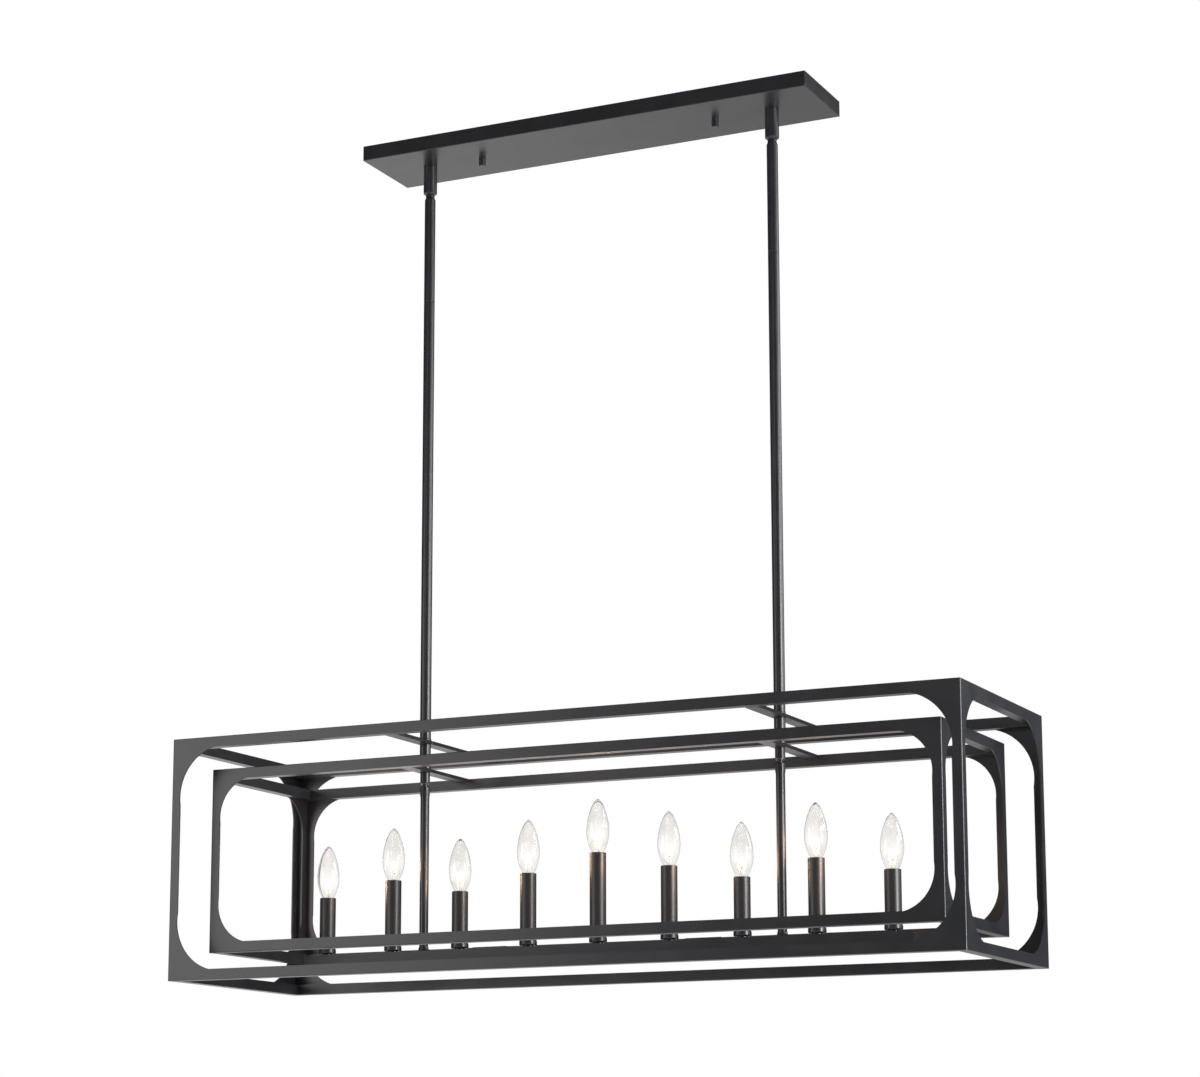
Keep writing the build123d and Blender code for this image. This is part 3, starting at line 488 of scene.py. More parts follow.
class PendantTurnings(bpy.types.PropertyGroup):
    """Sizes of the turned parts that their boxes in the frame don't give."""

    steps: IntProperty(name="Steps", description="Facets round a turned part", default=72, min=12, max=256)
    edge: length("Edge", "Radius on turned edges", 0.3)
    crisp_edge: length("Crisp edge", "Radius on edges that look sharp", 0.05)
    rod_edge: length("Rod edge", "Radius on the ends of the rods", 0.7)
    rod_wall: length("Rod wall", "Wall of the rods", 1.2)
    spigot_gap: length("Spigot gap", "Clearance of a spigot in its tube", 0.1)
    pipe_radius: length("Pipe", "Outer radius of the lamp pipe", 5.0)
    collar_height: length("Collar height", "Flange of the frame collars", 3.0)
    foot_height: length("Foot height", "Flare of the rod feet", 7.0)
    foot_neck: length("Foot neck", "Radius of a rod foot under its rod", 6.6)
    foot_rim: length("Foot rim", "Height of a rod foot's rim", 0.8)
    foot_sweep: length("Foot sweep", "Radius of a rod foot's hollow", 6.0)
    foot_spigot: length("Foot spigot", "Height of the spigot in a lower rod", 10.0)
    wire_bore: length("Wire bore", "Radius of the way for the wires", 2.4)
    housing_chamfer: length("Housing chamfer", "Chamfer round a swivel housing's lip", 1.2)
    housing_roof: length("Housing roof", "From a housing's top to its seat", 10.0)
    ball_radius: length("Ball", "Radius of a swivel ball", 8.5)
    seat_gap: length("Seat gap", "Running clearance of a ball in its seat", 0.05)
    ball_above_lip: length("Ball height", "Ball centre above the housing's lip", 5.0)
    ball_bore: length("Ball bore", "Radius of the hole through a ball", 2.6)
    neck_radius: length("Neck", "Radius of a swivel's neck", 4.2)
    neck_collar: length("Neck collar", "Radius of the collar under the neck", 6.5)
    neck_collar_height: length("Neck collar height", "Height of the collar", 4.0)
    shoulder_height: length("Shoulder height", "Height of the flare to the rod", 2.5)
    shoulder_round: length("Shoulder round", "Radius over the flare", 1.2)
    ball_spigot: length("Ball spigot", "Length of the spigot in the top rod", 10.0)
    coupling_height: length("Coupling", "Height of a lower coupling's barrel", 16.8)
    coupling_chamfer: length("Coupling chamfer", "Chamfer under a coupling", 1.5)
    link_radius: length("Link", "Radius of the link between coupling and ferrule", 3.5)
    ferrule_roof: length("Ferrule roof", "From a ferrule's top to its rod", 4.0)
    ferrule_chamfer: length("Ferrule chamfer", "Chamfer on top of a ferrule", 1.0)
    cap_chamfer: length("Cap nut chamfer", "Chamfer under a cap nut", 0.7)
    cap_depth: length("Cap nut depth", "Depth of a cap nut's hole", 9.5)
    stud_radius: length("Stud", "Radius of the studs and their clearance", 2.5)
    cup_neck: length("Cup neck", "Radius of a cup's neck", 7.2)
    cup_neck_height: length("Cup neck height", "Height of a cup's neck", 2.5)
    cup_swell: length("Cup swell", "How far a cup's foot stands out past its rim", 0.4)
    cup_round: length("Cup round", "Radius round a cup's foot", 1.5)
    cup_wall: length("Cup wall", "Rim of a cup", 0.7)
    sleeve_wall: length("Sleeve wall", "Wall of a sleeve", 1.0)


class PendantLamps(bpy.types.PropertyGroup):
    """The candle bulbs, measured up from the tip of their contact."""

    glass_colour: rgb("Glass", "Tint of the clear glass", (0.950, 0.938, 0.925))
    stem_colour: rgb("Glass stem", "Tint of the glass stem", (0.90, 0.91, 0.90))
    lead_colour: rgb("Lead wires", "Nickel of the lead wires", (0.42, 0.40, 0.37))
    shell_colour: rgb("Screw shell", "Brass of the screw base", (0.72, 0.68, 0.58))
    contact_colour: rgb("Insulator", "Black glass of the base", (0.02, 0.02, 0.022))
    # The glass rim colour is painted shade, shown where the glass is seen edge on.
    rim_shade_colour: rgb("Glass rim", "Tint of the glass seen edge on", (0.40, 0.39, 0.39))
    # The halo settings give a painted glow on the glass round the filament's height.
    painted_glow_colour: rgb("Halo", "Light of the filament on the glass", (1.0, 0.97, 0.92))
    painted_glow_strength: amount("Halo strength", "Radiance of the lit glass", 0.045)
    painted_glow_height: length("Halo height", "Middle of the lit glass", 49.0)
    painted_glow_reach: length("Halo reach", "Reach of the lit glass up and down", 13.0)
    glow_colour: rgb("Filament", "Colour of the lit filament", (1.0, 0.76, 0.46))
    light_colour: rgb("Lamp light", "Colour of the light of a bulb", (1.0, 0.58, 0.32))
    glow_strength: amount("Filament strength", "Radiance of the filament", 60.0)
    light_power: amount("Lamp power", "Light of one bulb", 0.42, unit="POWER")
    light_radius: length("Lamp radius", "Radius of a bulb's soft light", 7.0)
    belly_height: length("Belly height", "Height of the widest point", 53.0)
    tip_reach: length("Tip reach", "Handle of the outline at the tip", 6.2)
    upper_reach: length("Upper reach", "Handle of the outline above the belly", 20.9)
    lower_reach: length("Lower reach", "Handle of the outline below the belly", 18.6)
    neck_radius: length("Neck radius", "Radius where the glass enters its base", 5.6)
    neck_flare: length("Neck flare", "How far the neck opens", 1.5)
    neck_reach: length("Neck reach", "Handle of the outline at the neck", 6.5)
    wall: length("Glass wall", "Thickness of the glass", 0.7)
    tip_wall: length("Glass at the tip", "Thickness of the glass at the tip", 2.0)
    base_radius: length("Base radius", "Crests of the screw base", 5.9)
    base_height: length("Base height", "From the contact to the glass", 16.5)
    insulator_height: length("Insulator height", "Contact to the screw shell", 3.0)
    thread_pitch: length("Thread pitch", "Pitch of the candelabra screw", 2.54)
    thread_depth: length("Thread depth", "Depth of the rolled thread", 0.45)
    stem_height: length("Stem height", "Glass stem above the base", 20.0)
    stem_radius: length("Stem radius", "Radius of the glass stem's tube", 2.1)
    stem_gap: length("Stem gap", "From the stem's flare to the glass", 0.2)
    lead_spread: length("Lead spread", "Lead wires from the axis at the filament", 4.5)
    filament_rise: length("Filament rise", "Filament's feet above the glass stem", 8.5)
    filament_arch: length("Filament arch", "Height of the filament's arch", 5.0)
    coil_radius: length("Coil radius", "Radius of the coiled filament", 0.5)
    coil_turns: IntProperty(name="Coil turns", description="Turns of the coil", default=26, min=4, max=80)
    coil_wire: length("Coil wire", "Radius of the filament's wire", 0.18)
    wire_radius: length("Wire radius", "Radius of the lead wires", 0.3)
    bulb_turn: amount("Bulb turn", "Degrees that a bulb is screwed round", 22.0)
    turn_spread: amount("Turn spread", "Degrees that bulbs differ by", 9.0)


class PendantStudio(bpy.types.PropertyGroup):
    """Camera, floor and lights."""

    camera_place: FloatVectorProperty(
        name="Camera", description="Place of the camera", subtype="TRANSLATION",
        default=(1.78442, -3.73634, -1.53649),
    )
    camera_turn: FloatProperty(
        name="Turn", description="Camera's turn from +Y towards -X", subtype="ANGLE", default=0.444698,
    )
    camera_tilt: FloatProperty(
        name="Tilt", description="Camera's tilt above the horizon", subtype="ANGLE", default=0.185175,
    )
    camera_roll: FloatProperty(name="Roll", description="Camera's roll", subtype="ANGLE", default=-0.001951)
    lens: amount("Lens", "Focal length in millimetres on a 36 mm frame", 89.96)
    shift_up: FloatProperty(name="Shift", description="Upward shift of the lens", default=0.0846)
    floor_height: length("Floor", "Height of the floor below the ceiling's zero", -2300.0)
    room_light: amount("Room light", "Radiance of the soft room", 0.62)
    gloss_light: amount("Gloss light", "Radiance of the backdrop in reflections", 0.75)


# ---------------------------------------------------------------- finishes on the parts


class PENDANT_OT_finishes(bpy.types.Operator):
    """Make the finishes and give each CAD node its own"""

    bl_idname = "pendant.finishes"
    bl_label = "Finishes"

    def execute(self, context):
        coat = context.scene.pendant_coat
        lamps = context.scene.pendant_lamps
        powder_coat(STEEL, coat.steel_colour, coat.steel_roughness, coat)
        # The sleeves' coat carries a painted warm tint for the bulbs' light.
        powder_coat("sleeve_black", coat.sleeve_warm_lit_colour, coat.sleeve_roughness, coat)
        zinc_plate("plated_steel", coat.zinc_colour)
        moulded("phenolic", coat.socket_colour, roughness=0.45, speckles=900.0)
        moulded("wire_insulation", coat.wire_colour, roughness=0.5, speckles=260.0)
        clear_glass("bulb_glass", lamps.glass_colour, lamps.rim_shade_colour, streaks_per_metre=60.0, lamps=lamps)
        clear_glass("glass_stem", lamps.stem_colour, lamps.rim_shade_colour, streaks_per_metre=300.0)
        hot_wire("hot_filament", lamps.glow_colour, lamps.glow_strength)
        drawn_wire("lead_wire", lamps.lead_colour)
        drawn_wire("screw_shell", lamps.shell_colour)
        moulded("contact_glass", lamps.contact_colour, roughness=0.15, speckles=300.0)
        for name, node in frame["nodes"].items():
            node.data.materials.clear()
            node.data.materials.append(bpy.data.materials[SLOT_OF[name]])
        return {"FINISHED"}


# ---------------------------------------------------------------- turned parts


def turned_row(name, corners, edges, centres, steps, body=HANGING, slot=STEEL, closed=True):
    """Like turned parts in a row along X, from the corners of one profile and the radius on each.

    A profile that isn't closed starts and ends on the axis, and those two corners stay sharp.
    """
    profile = softened(corners, edges)
    if not closed:
        rounded = profile.reshape(len(corners), -1, 2)[1:-1].reshape(-1, 2)
        profile = np.concatenate([corners[:1], rounded, corners[-1:]])
    surface = revolved(profile, steps, [(x, 0.0) for x in centres], closed)
    new_piece(f"{name}_turned", surface, slot, body, [name])


def turned_tubes(name, wall, edges, centres, steps, slot=STEEL):
    """Plain tubes as high as their node: up the outside, over the top and down the bore."""
    radius, _, low, high = row_of(name)
    bore = radius - wall
    corners = [(radius, low), (radius, high), (bore, high), (bore, low)]
    turned_row(name, corners, edges, centres, steps, slot=slot)


def spigot_in(rods, turn):
    """The radius of a spigot that fits inside these rods."""
    return row_of(rods)[0] - turn.rod_wall - turn.spigot_gap


def arc_about(height, radius, angles):
    """Points (radius cos a, height + radius sin a) on an arc about the axis at a height."""
    return np.stack([radius * np.cos(angles), height + radius * np.sin(angles)], axis=1)


def turned_rods(turn):
    """The tubes of both stems, with rounder ends where the rods of a stem meet."""
    edge = turn.edge
    ends = {"short_rods": turn.rod_edge, "long_rods": turn.rod_edge, "spacer_tubes": edge, "row_rods": edge}
    for name, end in ends.items():
        turned_tubes(name, turn.rod_wall, [end, end, edge, edge], row_of(name)[1], turn.steps)


def turned_collars(turn):
    """A collar's flange, and the spigot that stands up from it inside the rod."""
    radius, centres, low, high = row_of("frame_collars")
    hole, spigot = turn.pipe_radius + turn.spigot_gap, spigot_in("long_rods", turn)
    flange = low + turn.collar_height
    corners = [(radius, low), (radius, flange), (spigot, flange), (spigot, high), (hole, high), (hole, low)]
    turned_row("frame_collars", corners, turn.edge, centres, turn.steps)


def turned_feet(turn):
    """A foot's rim, a hollow sweep up to its neck, and the spigot that stands up inside the rod.

    The sweep is one large arc at the waist, a corner 35 % of the way out from the neck to the rim
    and 45 % of the way up.
    """
    radius, centres, low, high = row_of("rod_feet")
    bore, pipe, neck = turn.wire_bore, turn.pipe_radius, turn.foot_neck
    spigot = spigot_in("row_rods", turn)
    top = high - turn.foot_spigot
    flange = top - turn.foot_height
    waist = (neck + (radius - neck) * 0.35, flange + turn.foot_height * 0.45)
    corners = [(pipe, low), (pipe, flange), (radius, flange), (radius, flange + turn.foot_rim), waist]
    corners += [(neck, top), (spigot, top), (spigot, high), (bore, high), (bore, low)]
    edges = [turn.foot_sweep if corner is waist else turn.edge / 2 for corner in corners]
    turned_row("rod_feet", corners, edges, centres, turn.steps)


def turned_housings(turn):
    """A housing's chamfered barrel, its bore for the lamp pipe, and the round seat for the ball.

    The seat is an arc about the ball's centre, one running clearance larger than the ball. It runs
    from the ball's middle down to the lip, at the angle asin(height above the lip / seat radius).
    """
    edge, chamfer = turn.edge, turn.housing_chamfer
    radius, centres, low, high = row_of("swivel_housings")
    hole = turn.pipe_radius + turn.spigot_gap
    seat = turn.ball_radius + turn.seat_gap
    ball_z, roof = low + turn.ball_above_lip, high - turn.housing_roof
    lip = math.sqrt(seat**2 - turn.ball_above_lip**2)
    angles = -np.linspace(0.0, math.asin(turn.ball_above_lip / seat), 9)[1:-1]
    arc = arc_about(ball_z, seat, angles)
    corners = [(lip, low), (radius - chamfer, low), (radius, low + chamfer), (radius, high)]
    corners += [(hole, high), (hole, roof), (seat, roof), (seat, ball_z), *arc]
    edges = [edge * 0.3] + [edge] * 6 + [edge * 0.3] * (1 + len(arc))
    turned_row("swivel_housings", corners, edges, centres, turn.steps, body=CEILING)


def turned_balls(turn):
    """A ball with its neck, collar and flared shoulder, and the spigot down inside the rod.

    The ball is an arc about its centre, from acos(neck / ball) below its middle, where it meets
    its neck, to acos(bore / ball) above it.
    """
    edge, crisp = turn.edge, turn.crisp_edge
    ball, bore, neck, collar = turn.ball_radius, turn.ball_bore, turn.neck_radius, turn.neck_collar
    stem_radius, spigot = row_of("short_rods")[0], spigot_in("short_rods", turn)
    _, _, low, high = row_of("swivel_balls")
    rod_top = low + turn.ball_spigot
    shoulder = rod_top + turn.shoulder_height
    collar_top = shoulder + turn.neck_collar_height
    ball_z = high - math.sqrt(ball**2 - bore**2)
    arc = arc_about(ball_z, ball, np.linspace(-math.acos(neck / ball), math.acos(bore / ball), 25))
    corners = [(spigot, low), (spigot, rod_top), (stem_radius - edge, rod_top), (collar, shoulder)]
    corners += [(collar, collar_top), (neck, collar_top), *arc, (bore, low)]
    edges = [edge, crisp, edge, turn.shoulder_round, edge] + [crisp] * (2 + len(arc))
    turned_row("swivel_balls", corners, edges, row_of("swivel_housings")[1], turn.steps)


def turned_cap_nuts(turn):
    """A cap nut's chamfered outside and its blind hole, from the axis back to the axis."""
    radius, centres, low, high = row_of("cap_nuts")
    chamfer, hole, floor = turn.cap_chamfer, turn.stud_radius, high - turn.cap_depth
    corners = [(0.0, low), (radius - chamfer, low), (radius, low + chamfer), (radius, high)]
    corners += [(hole, high), (hole, floor), (0.0, floor)]
    turned_row("cap_nuts", corners, turn.edge * 0.7, centres, turn.steps, body=CEILING, closed=False)


def turned_couplings(turn):
    """A coupling's barrel, chamfered underneath, and the link that comes down from it."""
    edge, chamfer, link, bore = turn.edge, turn.coupling_chamfer, turn.link_radius, turn.wire_bore
    radius, centres, low, high = row_of("lower_couplings")
    barrel = high - turn.coupling_height
    corners = [(link, low), (link, barrel), (radius - chamfer, barrel), (radius, barrel + chamfer)]
    corners += [(radius, high), (bore, high), (bore, low)]
    edges = [edge, edge, edge, edge * 2, edge, edge, edge]
    turned_row("lower_couplings", corners, edges, centres, turn.steps)


def turned_ferrules(turn):
    """A ferrule's chamfered barrel, the link's hole in its roof and the rod's seat under that."""
    edge, chamfer = turn.edge, turn.ferrule_chamfer
    radius, centres, low, high = row_of("row_rod_ferrules")
    hole, seat = turn.link_radius + turn.spigot_gap, row_of("row_rods")[0] + turn.spigot_gap
    roof = high - turn.ferrule_roof
    corners = [(radius, low), (radius, high - chamfer), (radius - chamfer, high)]
    corners += [(hole, high), (hole, roof), (seat, roof), (seat, low)]
    edges = [edge / 2, edge, edge, edge, edge, edge / 2, edge / 2]
    turned_row("row_rod_ferrules", corners, edges, centres, turn.steps)


def spun_cups(turn):
    """A cup's neck, its foot's round swell, and the bowl that the sleeve stands in."""
    edge = turn.edge
    radius, centres, low, high = row_of("candle_cups", len(LAMPS))
    seat = row_of("sleeve_tall")[2]
    rim, bowl = radius - turn.cup_swell, low + turn.cup_neck_height
    inside, hole = rim - turn.cup_wall, turn.pipe_radius + turn.spigot_gap
    corners = [(hole, low), (turn.cup_neck, low), (turn.cup_neck, bowl), (radius, bowl)]
    corners += [(rim, high), (inside, high), (inside, seat), (hole, seat)]
    edges = [edge, edge, edge, turn.cup_round, edge, edge, edge, edge]
    turned_row("candle_cups", corners, edges, centres, turn.steps)


def rolled_sleeves(turn):
    """Sleeves of three heights, each in its own cup: a tall one in the middle of the row, and from
    there medium and short ones in turn."""
    edge = turn.edge
    centres = row_of("candle_cups", len(LAMPS))[1]
    from_middle = np.abs(np.arange(len(LAMPS)) - len(LAMPS) // 2)
    places = {
        "sleeves_short": (from_middle % 2 == 0) & (from_middle > 0),
        "sleeves_medium": from_middle % 2 == 1,
        "sleeve_tall": from_middle == 0,
    }
    for name, chosen in places.items():
        edges = [edge, edge * 1.4, edge, edge]
        turned_tubes(name, turn.sleeve_wall, edges, centres[chosen], turn.steps, slot="sleeve_black")


class PENDANT_OT_stems(bpy.types.Operator):
    """Turn the rods, spacer tubes, collars and feet of the two stems"""

    bl_idname = "pendant.stems"
    bl_label = "Stems"

    def execute(self, context):
        turn = context.scene.pendant_turnings
        turned_rods(turn)
        turned_collars(turn)
        turned_feet(turn)
        return {"FINISHED"}


class PENDANT_OT_swivels(bpy.types.Operator):
    """Turn the swivel housings with their round seats, the balls and the canopy's cap nuts"""

    bl_idname = "pendant.swivels"
    bl_label = "Swivels and cap nuts"

    def execute(self, context):
        turn = context.scene.pendant_turnings
        turned_housings(turn)
        turned_balls(turn)
        turned_cap_nuts(turn)
        return {"FINISHED"}


class PENDANT_OT_couplings(bpy.types.Operator):
    """Turn the lower couplings with their links, and the ferrules on the lower rods"""

    bl_idname = "pendant.couplings"
    bl_label = "Couplings and ferrules"

    def execute(self, context):
        turn = context.scene.pendant_turnings
        turned_couplings(turn)
        turned_ferrules(turn)
        return {"FINISHED"}


class PENDANT_OT_candles(bpy.types.Operator):
    """Spin the candle cups and roll the sleeves that stand in them"""

    bl_idname = "pendant.candles"
    bl_label = "Cups and sleeves"

    def execute(self, context):
        turn = context.scene.pendant_turnings
        spun_cups(turn)
        rolled_sleeves(turn)
        return {"FINISHED"}


# ---------------------------------------------------------------- bulbs


def bulb_outline(lamps, radius, tip, wall, tip_wall):
    """Half of the flame shape as points (r, z), from the tip to the neck: two cubic curves that
    meet upright at the belly, drawn inwards by wall, or by tip_wall at the tip."""
    belly, neck = radius - wall, lamps.neck_radius - wall
    upper = [
        (0.0, tip - tip_wall),
        (lamps.tip_reach, tip - tip_wall),
        (belly, lamps.belly_height + lamps.upper_reach),
        (belly, lamps.belly_height),
    ]
    lower = [
        (belly, lamps.belly_height),
        (belly, lamps.belly_height - lamps.lower_reach),
        (neck + lamps.neck_flare, lamps.base_height + lamps.neck_reach),
        (neck, lamps.base_height),
    ]
    return np.concatenate([cubic(upper, 30), cubic(lower, 22)[1:]])


def bulb_glass(lamps, radius, tip, steps):
    """The blown envelope: its inner outline from tip to neck, then its outer one back to the tip."""
    outer = bulb_outline(lamps, radius, tip, 0.0, 0.0)
    inner = bulb_outline(lamps, radius, tip, lamps.wall, lamps.tip_wall)
    return revolved(np.concatenate([inner, outer[::-1]]), steps)


def bulb_stem(lamps, steps):
    """The glass stem: a flared tube whose upper part is pressed flat.

    Its profile narrows from the flare to the tube along one cubic curve and closes over the top
    along another. Across Y it is then thinned by a share that eases in, from none where the tube
    starts to all of it where the press is.
    """
    foot, top = lamps.base_height, lamps.base_height + lamps.stem_height
    flare_height, press_height, thinned = 7 * MM, 4 * MM, 0.55
    neck, tube = lamps.neck_radius - lamps.wall - lamps.stem_gap, lamps.stem_radius
    waist = tube + 0.2 * MM
    flare = [(neck, foot), (neck / 2, foot + 1 * MM), (waist, foot + 3 * MM), (tube, foot + flare_height)]
    dome = [(tube, top - 3 * MM), (tube, top - 1 * MM), (1.2 * MM, top), (0.0, top)]
    profile = np.concatenate([[(0.0, foot)], cubic(flare, 12), cubic(dome, 8)])
    vertices, quads = revolved(profile, steps)
    above = (vertices[:, 2] - foot - flare_height) / (lamps.stem_height - flare_height - press_height)
    vertices[:, 1] *= 1 - thinned * ease(above)
    return vertices, quads


def bulb_leads(lamps):
    """Two lead wires that rise from the press and spread along a smooth S to the filament's feet,
    and a thinner support, bowed like half a sine wave, from the press to the crown of the arch."""
    top = lamps.base_height + lamps.stem_height
    press, sunk, bow = 1.0 * MM, 2 * MM, 1.1 * MM
    share = np.linspace(0, 1, 16)
    height = top - sunk + (lamps.filament_rise + sunk) * share
    surfaces = []
    for side in (-1, 1):
        offset = side * (press + (lamps.lead_spread - press) * ease(share))
        path = np.stack([offset, 0 * share, height], axis=1)
        surfaces.append(tube_along(path, lamps.wire_radius, (0.0, 1.0, 0.0)))
    crown = top + lamps.filament_rise + lamps.filament_arch + lamps.coil_radius
    rise = top - press + (crown - top + press) * share
    support = np.stack([0 * share, bow * np.sin(np.pi * share), rise], axis=1)
    surfaces.append(tube_along(support, lamps.wire_radius * 0.6, (1.0, 0.0, 0.0)))
    return join(*surfaces)


def bulb_filament(lamps):
    """The coiled filament: a helix round an arch.

    The arch is x = -w cos(pi s), z = z0 + h sin(pi s). With n its normal in the plane of the arch,
    the coil is arch + radius (n cos p + y sin p), where p turns evenly along s.
    """
    share = np.linspace(0, 1, lamps.coil_turns * 10)
    foot = lamps.base_height + lamps.stem_height + lamps.filament_rise
    wide, tall = lamps.lead_spread, lamps.filament_arch
    arch = np.stack([-wide * np.cos(np.pi * share), 0 * share, foot + tall * np.sin(np.pi * share)], axis=1)
    along = np.gradient(arch, axis=0)
    along /= np.linalg.norm(along, axis=1, keepdims=True)
    normal = np.stack([-along[:, 2], along[:, 1], along[:, 0]], axis=1)
    turn = (2 * np.pi * lamps.coil_turns * share)[:, None]
    out = normal * np.cos(turn) + np.array([[0.0, 1.0, 0.0]]) * np.sin(turn)
    return tube_along(arch + lamps.coil_radius * out, lamps.coil_wire, out, sides=6)


def screw_base(lamps, steps):
    """The rolled screw shell, closed at both ends.

    On the grid of height z and angle a, the radius is the crest less depth (1 - cos(2 pi z / pitch
    - a)) / 2. The depth fades in over one pitch above the lower plain band, and out over half a
    pitch under the upper one.
    """
    low, high, pitch = lamps.insulator_height, lamps.base_height, lamps.thread_pitch
    lower_band, upper_band = 0.6 * MM, 2.2 * MM
    z = np.linspace(low, high, 56)[:, None]
    angle = (2 * np.pi * np.arange(steps) / steps)[None]
    fade = np.clip((z - low - lower_band) / pitch, 0, 1)
    fade *= np.clip((high - upper_band - z) / pitch * 2, 0, 1)
    wave = (1 - np.cos(2 * np.pi * z / pitch - angle)) / 2
    radius = lamps.base_radius - lamps.thread_depth * fade * wave
    wall = np.stack([radius * np.cos(angle), radius * np.sin(angle), z + 0 * angle], axis=-1)
    lowest = np.broadcast_to([0.0, 0.0, low], (1, steps, 3))
    highest = np.broadcast_to([0.0, 0.0, high], (1, steps, 3))
    grid = np.concatenate([lowest, wall, highest])
    return grid.reshape(-1, 3), quads_of(len(grid), steps)


def bulb_contact(lamps, steps):
    """The insulator's cone, and under it the solder button, whose side is a cubic curve."""
    low, rim = lamps.insulator_height, lamps.base_radius - 0.6 * MM
    foot, button = 1.0 * MM, 2.0 * MM
    cone = [(0.0, low), (rim, low), (3.4 * MM, 1.5 * MM), (2.2 * MM, foot)]
    side = cubic([(button, foot), (button, 0.3 * MM), (1.2 * MM, 0.0), (0.0, 0.0)], 8)
    return revolved(np.concatenate([cone, side]), steps)


def add_rise(mesh, foot):
    """Give each vertex its height above the bulb's foot, which the painted glow of the glass reads."""
    places = np.empty(len(mesh.vertices) * 3)
    mesh.vertices.foreach_get("co", places)
    mesh.attributes.new("rise", "FLOAT", "POINT").data.foreach_set("value", places[2::3] - foot)


class PENDANT_OT_lamps(bpy.types.Operator):
    """Blow the nine bulbs, with their stems, lead wires, lit filaments and screw bases"""

    bl_idname = "pendant.lamps"
    bl_label = "Lamps"

    def execute(self, context):
        lamps = context.scene.pendant_lamps
        steps = context.scene.pendant_turnings.steps
        uneven = 2.4  # radians from one bulb to the next on the sine that spreads their turns
        for number, body in enumerate(LAMPS):
            low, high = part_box(body)
            radius, tip = (high.y - low.y) / 2, high.z - low.z
            turn = math.radians(lamps.bulb_turn + lamps.turn_spread * math.sin(uneven * number))
            spin = np.array(Matrix.Rotation(turn, 3, "Z"))
            seat = np.array([(low.x + high.x) / 2, (low.y + high.y) / 2, low.z])
            parts = {
                "glass": (bulb_glass(lamps, radius, tip, steps), "bulb_glass"),
                "stem": (bulb_stem(lamps, steps=24), "glass_stem"),
                "leads": (bulb_leads(lamps), "lead_wire"),
                "filament": (bulb_filament(lamps), "hot_filament"),
                "screw_base": (screw_base(lamps, steps=48), "screw_shell"),
                "contact": (bulb_contact(lamps, steps=32), "contact_glass"),
            }
            for part, ((vertices, quads), finish) in parts.items():
                surface = (vertices @ spin.T + seat, quads)
                piece = new_piece(f"{body}_{part}", surface, finish, body, [body])
                add_rise(piece.data, low.z)
                piece.visible_shadow = part in ("screw_base", "contact")
                piece.visible_diffuse = piece.visible_glossy = part != "filament"
            self.light(lamps, body, seat)
        return {"FINISHED"}

    def light(self, lamps, body, seat):
        """The soft light of one bulb, half way up its filament's arch."""
        lamp = bpy.data.lights.new(f"{body}_light", "POINT")
        lamp.energy = lamps.light_power
        lamp.color = lamps.light_colour
        lamp.shadow_soft_size = lamps.light_radius
        light = new_object(lamp.name, lamp)
        height = lamps.base_height + lamps.stem_height + lamps.filament_rise + lamps.filament_arch / 2
        light.location = seat + np.array([0.0, 0.0, height])
        light.visible_camera = False
        light.visible_transmission = False
        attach(light, body)


# ---------------------------------------------------------------- studio

# The soft lights, all turned to MIDDLE: place, width and height in metres, and radiance.
MIDDLE = (0.0, 0.0, -0.95)
SOFT_BOXES = {
    "left_box": ((-2.0, -2.25, -0.75), 1.6, 1.6, 3.0),
    "front_box": ((-0.1, -4.2, 0.45), 0.7, 0.9, 4.0),
    "right_box": ((2.9, -0.5, -0.8), 0.7, 1.5, 32.0),
    "back_box": ((2.6, 1.2, 0.15), 2.2, 1.2, 5.5),
    "top_box": ((0.2, -0.6, 2.6), 2.4, 1.6, 0.8),
}


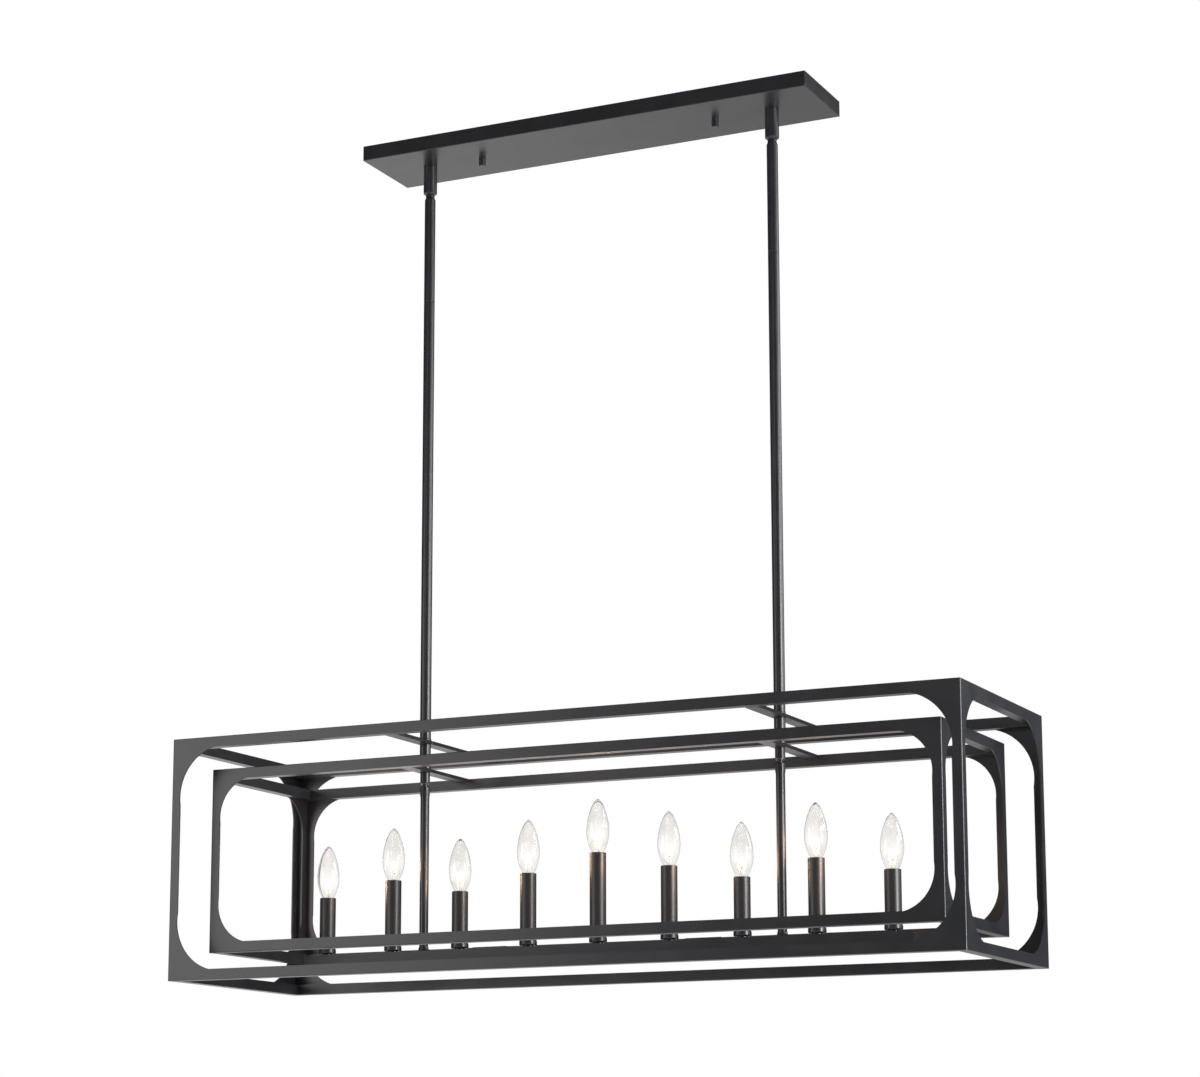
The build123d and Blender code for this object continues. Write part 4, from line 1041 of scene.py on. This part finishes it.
class PENDANT_OT_studio(bpy.types.Operator):
    """Set the camera, the pale floor, the white backdrop and the soft lights"""

    bl_idname = "pendant.studio"
    bl_label = "Studio"

    def execute(self, context):
        studio = context.scene.pendant_studio
        context.scene.view_settings.view_transform = "Standard"
        self.camera(context, studio)
        self.floor(studio)
        self.backdrop(context, studio)
        for name, (place, width, height, radiance) in SOFT_BOXES.items():
            self.soft_box(name, Vector(place), width, height, radiance)
        return {"FINISHED"}

    def camera(self, context, studio):
        """The photograph's view: turn about Z, then tilt, then roll."""
        lens = bpy.data.cameras.new("camera")
        lens.lens = studio.lens
        lens.shift_y = studio.shift_up
        lens.clip_end = 200.0
        camera = new_object("camera", lens)
        turn = Matrix.Rotation(studio.camera_turn, 4, "Z")
        tilt = Matrix.Rotation(math.pi / 2 + studio.camera_tilt, 4, "X")
        roll = Matrix.Rotation(studio.camera_roll, 4, "Z")
        camera.matrix_world = Matrix.Translation(studio.camera_place) @ turn @ tilt @ roll
        context.scene.camera = camera

    def soft_box(self, name, place, width, height, radiance):
        """A rectangular light that faces MIDDLE. Its power is radiance times pi times its area."""
        light = bpy.data.lights.new(name, "AREA")
        light.shape = "RECTANGLE"
        light.size, light.size_y = width, height
        light.energy = radiance * math.pi * width * height
        box = new_object(name, light)
        turn = (place - Vector(MIDDLE)).to_track_quat("Z", "Y").to_matrix().to_4x4()
        box.matrix_world = Matrix.Translation(place) @ turn
        box.visible_camera = False
        box.visible_transmission = False

    def floor(self, studio):
        """A pale floor that fades out to the backdrop with its distance, and isn't there from below."""
        reach, clouds_per_metre = 12.0, 1.5
        fade_start, fade_end = 3.0, 7.5
        mesh = bpy.data.meshes.new("floor")
        corners = np.array([(-1, -1), (1, -1), (1, 1), (-1, 1)]) * reach
        mesh.from_pydata([(x, y, studio.floor_height) for x, y in corners], [], [(0, 1, 2, 3)])
        wire = new_finish("pale_floor")
        place = wire.place()
        far = wire.node("ShaderNodeVectorMath", {"operation": "LENGTH"}, {0: place}, output="Value")
        shade = wire.noise(place, clouds_per_metre).mix(tint(WHITE, 0.80), tint(WHITE, 0.83))
        pale = wire.node("ShaderNodeBsdfPrincipled", {}, {"Base Color": shade, "Roughness": 0.8})
        gone = wire.node("ShaderNodeBsdfTransparent")
        below = wire.node("ShaderNodeNewGeometry", output="Backfacing")
        fade = wire.maths("MAXIMUM", far.smoothstep(fade_start, fade_end), below)
        surface = wire.node("ShaderNodeMixShader", {}, {0: fade, 1: pale, 2: gone})
        wire.node("ShaderNodeOutputMaterial", {}, {"Surface": surface})
        mesh.materials.append(bpy.data.materials["pale_floor"])
        floor = new_object("floor", mesh)

    def backdrop(self, context, studio):
        """White to the camera and through glass, and the room's even light on what is dull.

        In reflections it is near dark above the horizon and pale below it, more so to the west.
        """
        dark, pale = 0.05, 0.72
        world = bpy.data.worlds.new("studio")
        context.scene.world = world
        world.use_nodes = True
        world.node_tree.nodes.clear()
        wire = Wire(world.node_tree)
        seen = wire.node("ShaderNodeLightPath", output="Is Camera Ray")
        through = wire.node("ShaderNodeLightPath", output="Is Transmission Ray")
        glossy = wire.node("ShaderNodeLightPath", output="Is Glossy Ray")
        way = wire.node("ShaderNodeTexCoord", output="Generated")
        west = 0.0 - wire.node("ShaderNodeSeparateXYZ", {}, {"Vector": way}, output="X")
        down = 0.0 - wire.node("ShaderNodeSeparateXYZ", {}, {"Vector": way}, output="Z")
        sweep = down.smoothstep(-0.02, 0.16) * (pale + west.smoothstep(0.28, 0.52))
        gloss = studio.gloss_light * (dark + sweep)
        white = (seen + through).smoothstep(0.0, 1.0)
        soft = studio.room_light + glossy * (gloss - studio.room_light)
        strength = soft + white * (1.0 - soft)
        sky = wire.node("ShaderNodeBackground", {}, {"Color": WHITE, "Strength": strength})
        wire.node("ShaderNodeOutputWorld", {}, {"Surface": sky})


# ---------------------------------------------------------------- panel and registration


class PENDANT_PT_panel(bpy.types.Panel):
    """Sizes, colours and steps of the pendant"""

    bl_idname = "PENDANT_PT_panel"
    bl_label = "Linear Island Pendant"
    bl_space_type = "VIEW_3D"
    bl_region_type = "UI"
    bl_category = "Pendant"

    def draw(self, context):
        for operator in OPERATORS:
            self.layout.operator(operator.bl_idname)
        for name in GROUPS:
            settings = getattr(context.scene, name)
            box = self.layout.box()
            for key in settings.__annotations__:
                box.prop(settings, key)


GROUPS = {
    "pendant_coat": PendantCoat,
    "pendant_turnings": PendantTurnings,
    "pendant_lamps": PendantLamps,
    "pendant_studio": PendantStudio,
}
OPERATORS = (
    PENDANT_OT_finishes,
    PENDANT_OT_stems,
    PENDANT_OT_swivels,
    PENDANT_OT_couplings,
    PENDANT_OT_candles,
    PENDANT_OT_lamps,
    PENDANT_OT_studio,
)
CLASSES = (*GROUPS.values(), *OPERATORS, PENDANT_PT_panel)


def register():
    for made in CLASSES:
        bpy.utils.register_class(made)
    for name, group in GROUPS.items():
        setattr(bpy.types.Scene, name, PointerProperty(type=group))


def unregister():
    for name in GROUPS:
        delattr(bpy.types.Scene, name)
    for made in reversed(CLASSES):
        bpy.utils.unregister_class(made)


def main():
    """Build the whole scene."""
    register()
    bpy.ops.pendant.finishes()
    bpy.ops.pendant.stems()
    bpy.ops.pendant.swivels()
    bpy.ops.pendant.couplings()
    bpy.ops.pendant.candles()
    bpy.ops.pendant.lamps()
    bpy.ops.pendant.studio()


if __name__ == "__main__":
    main()
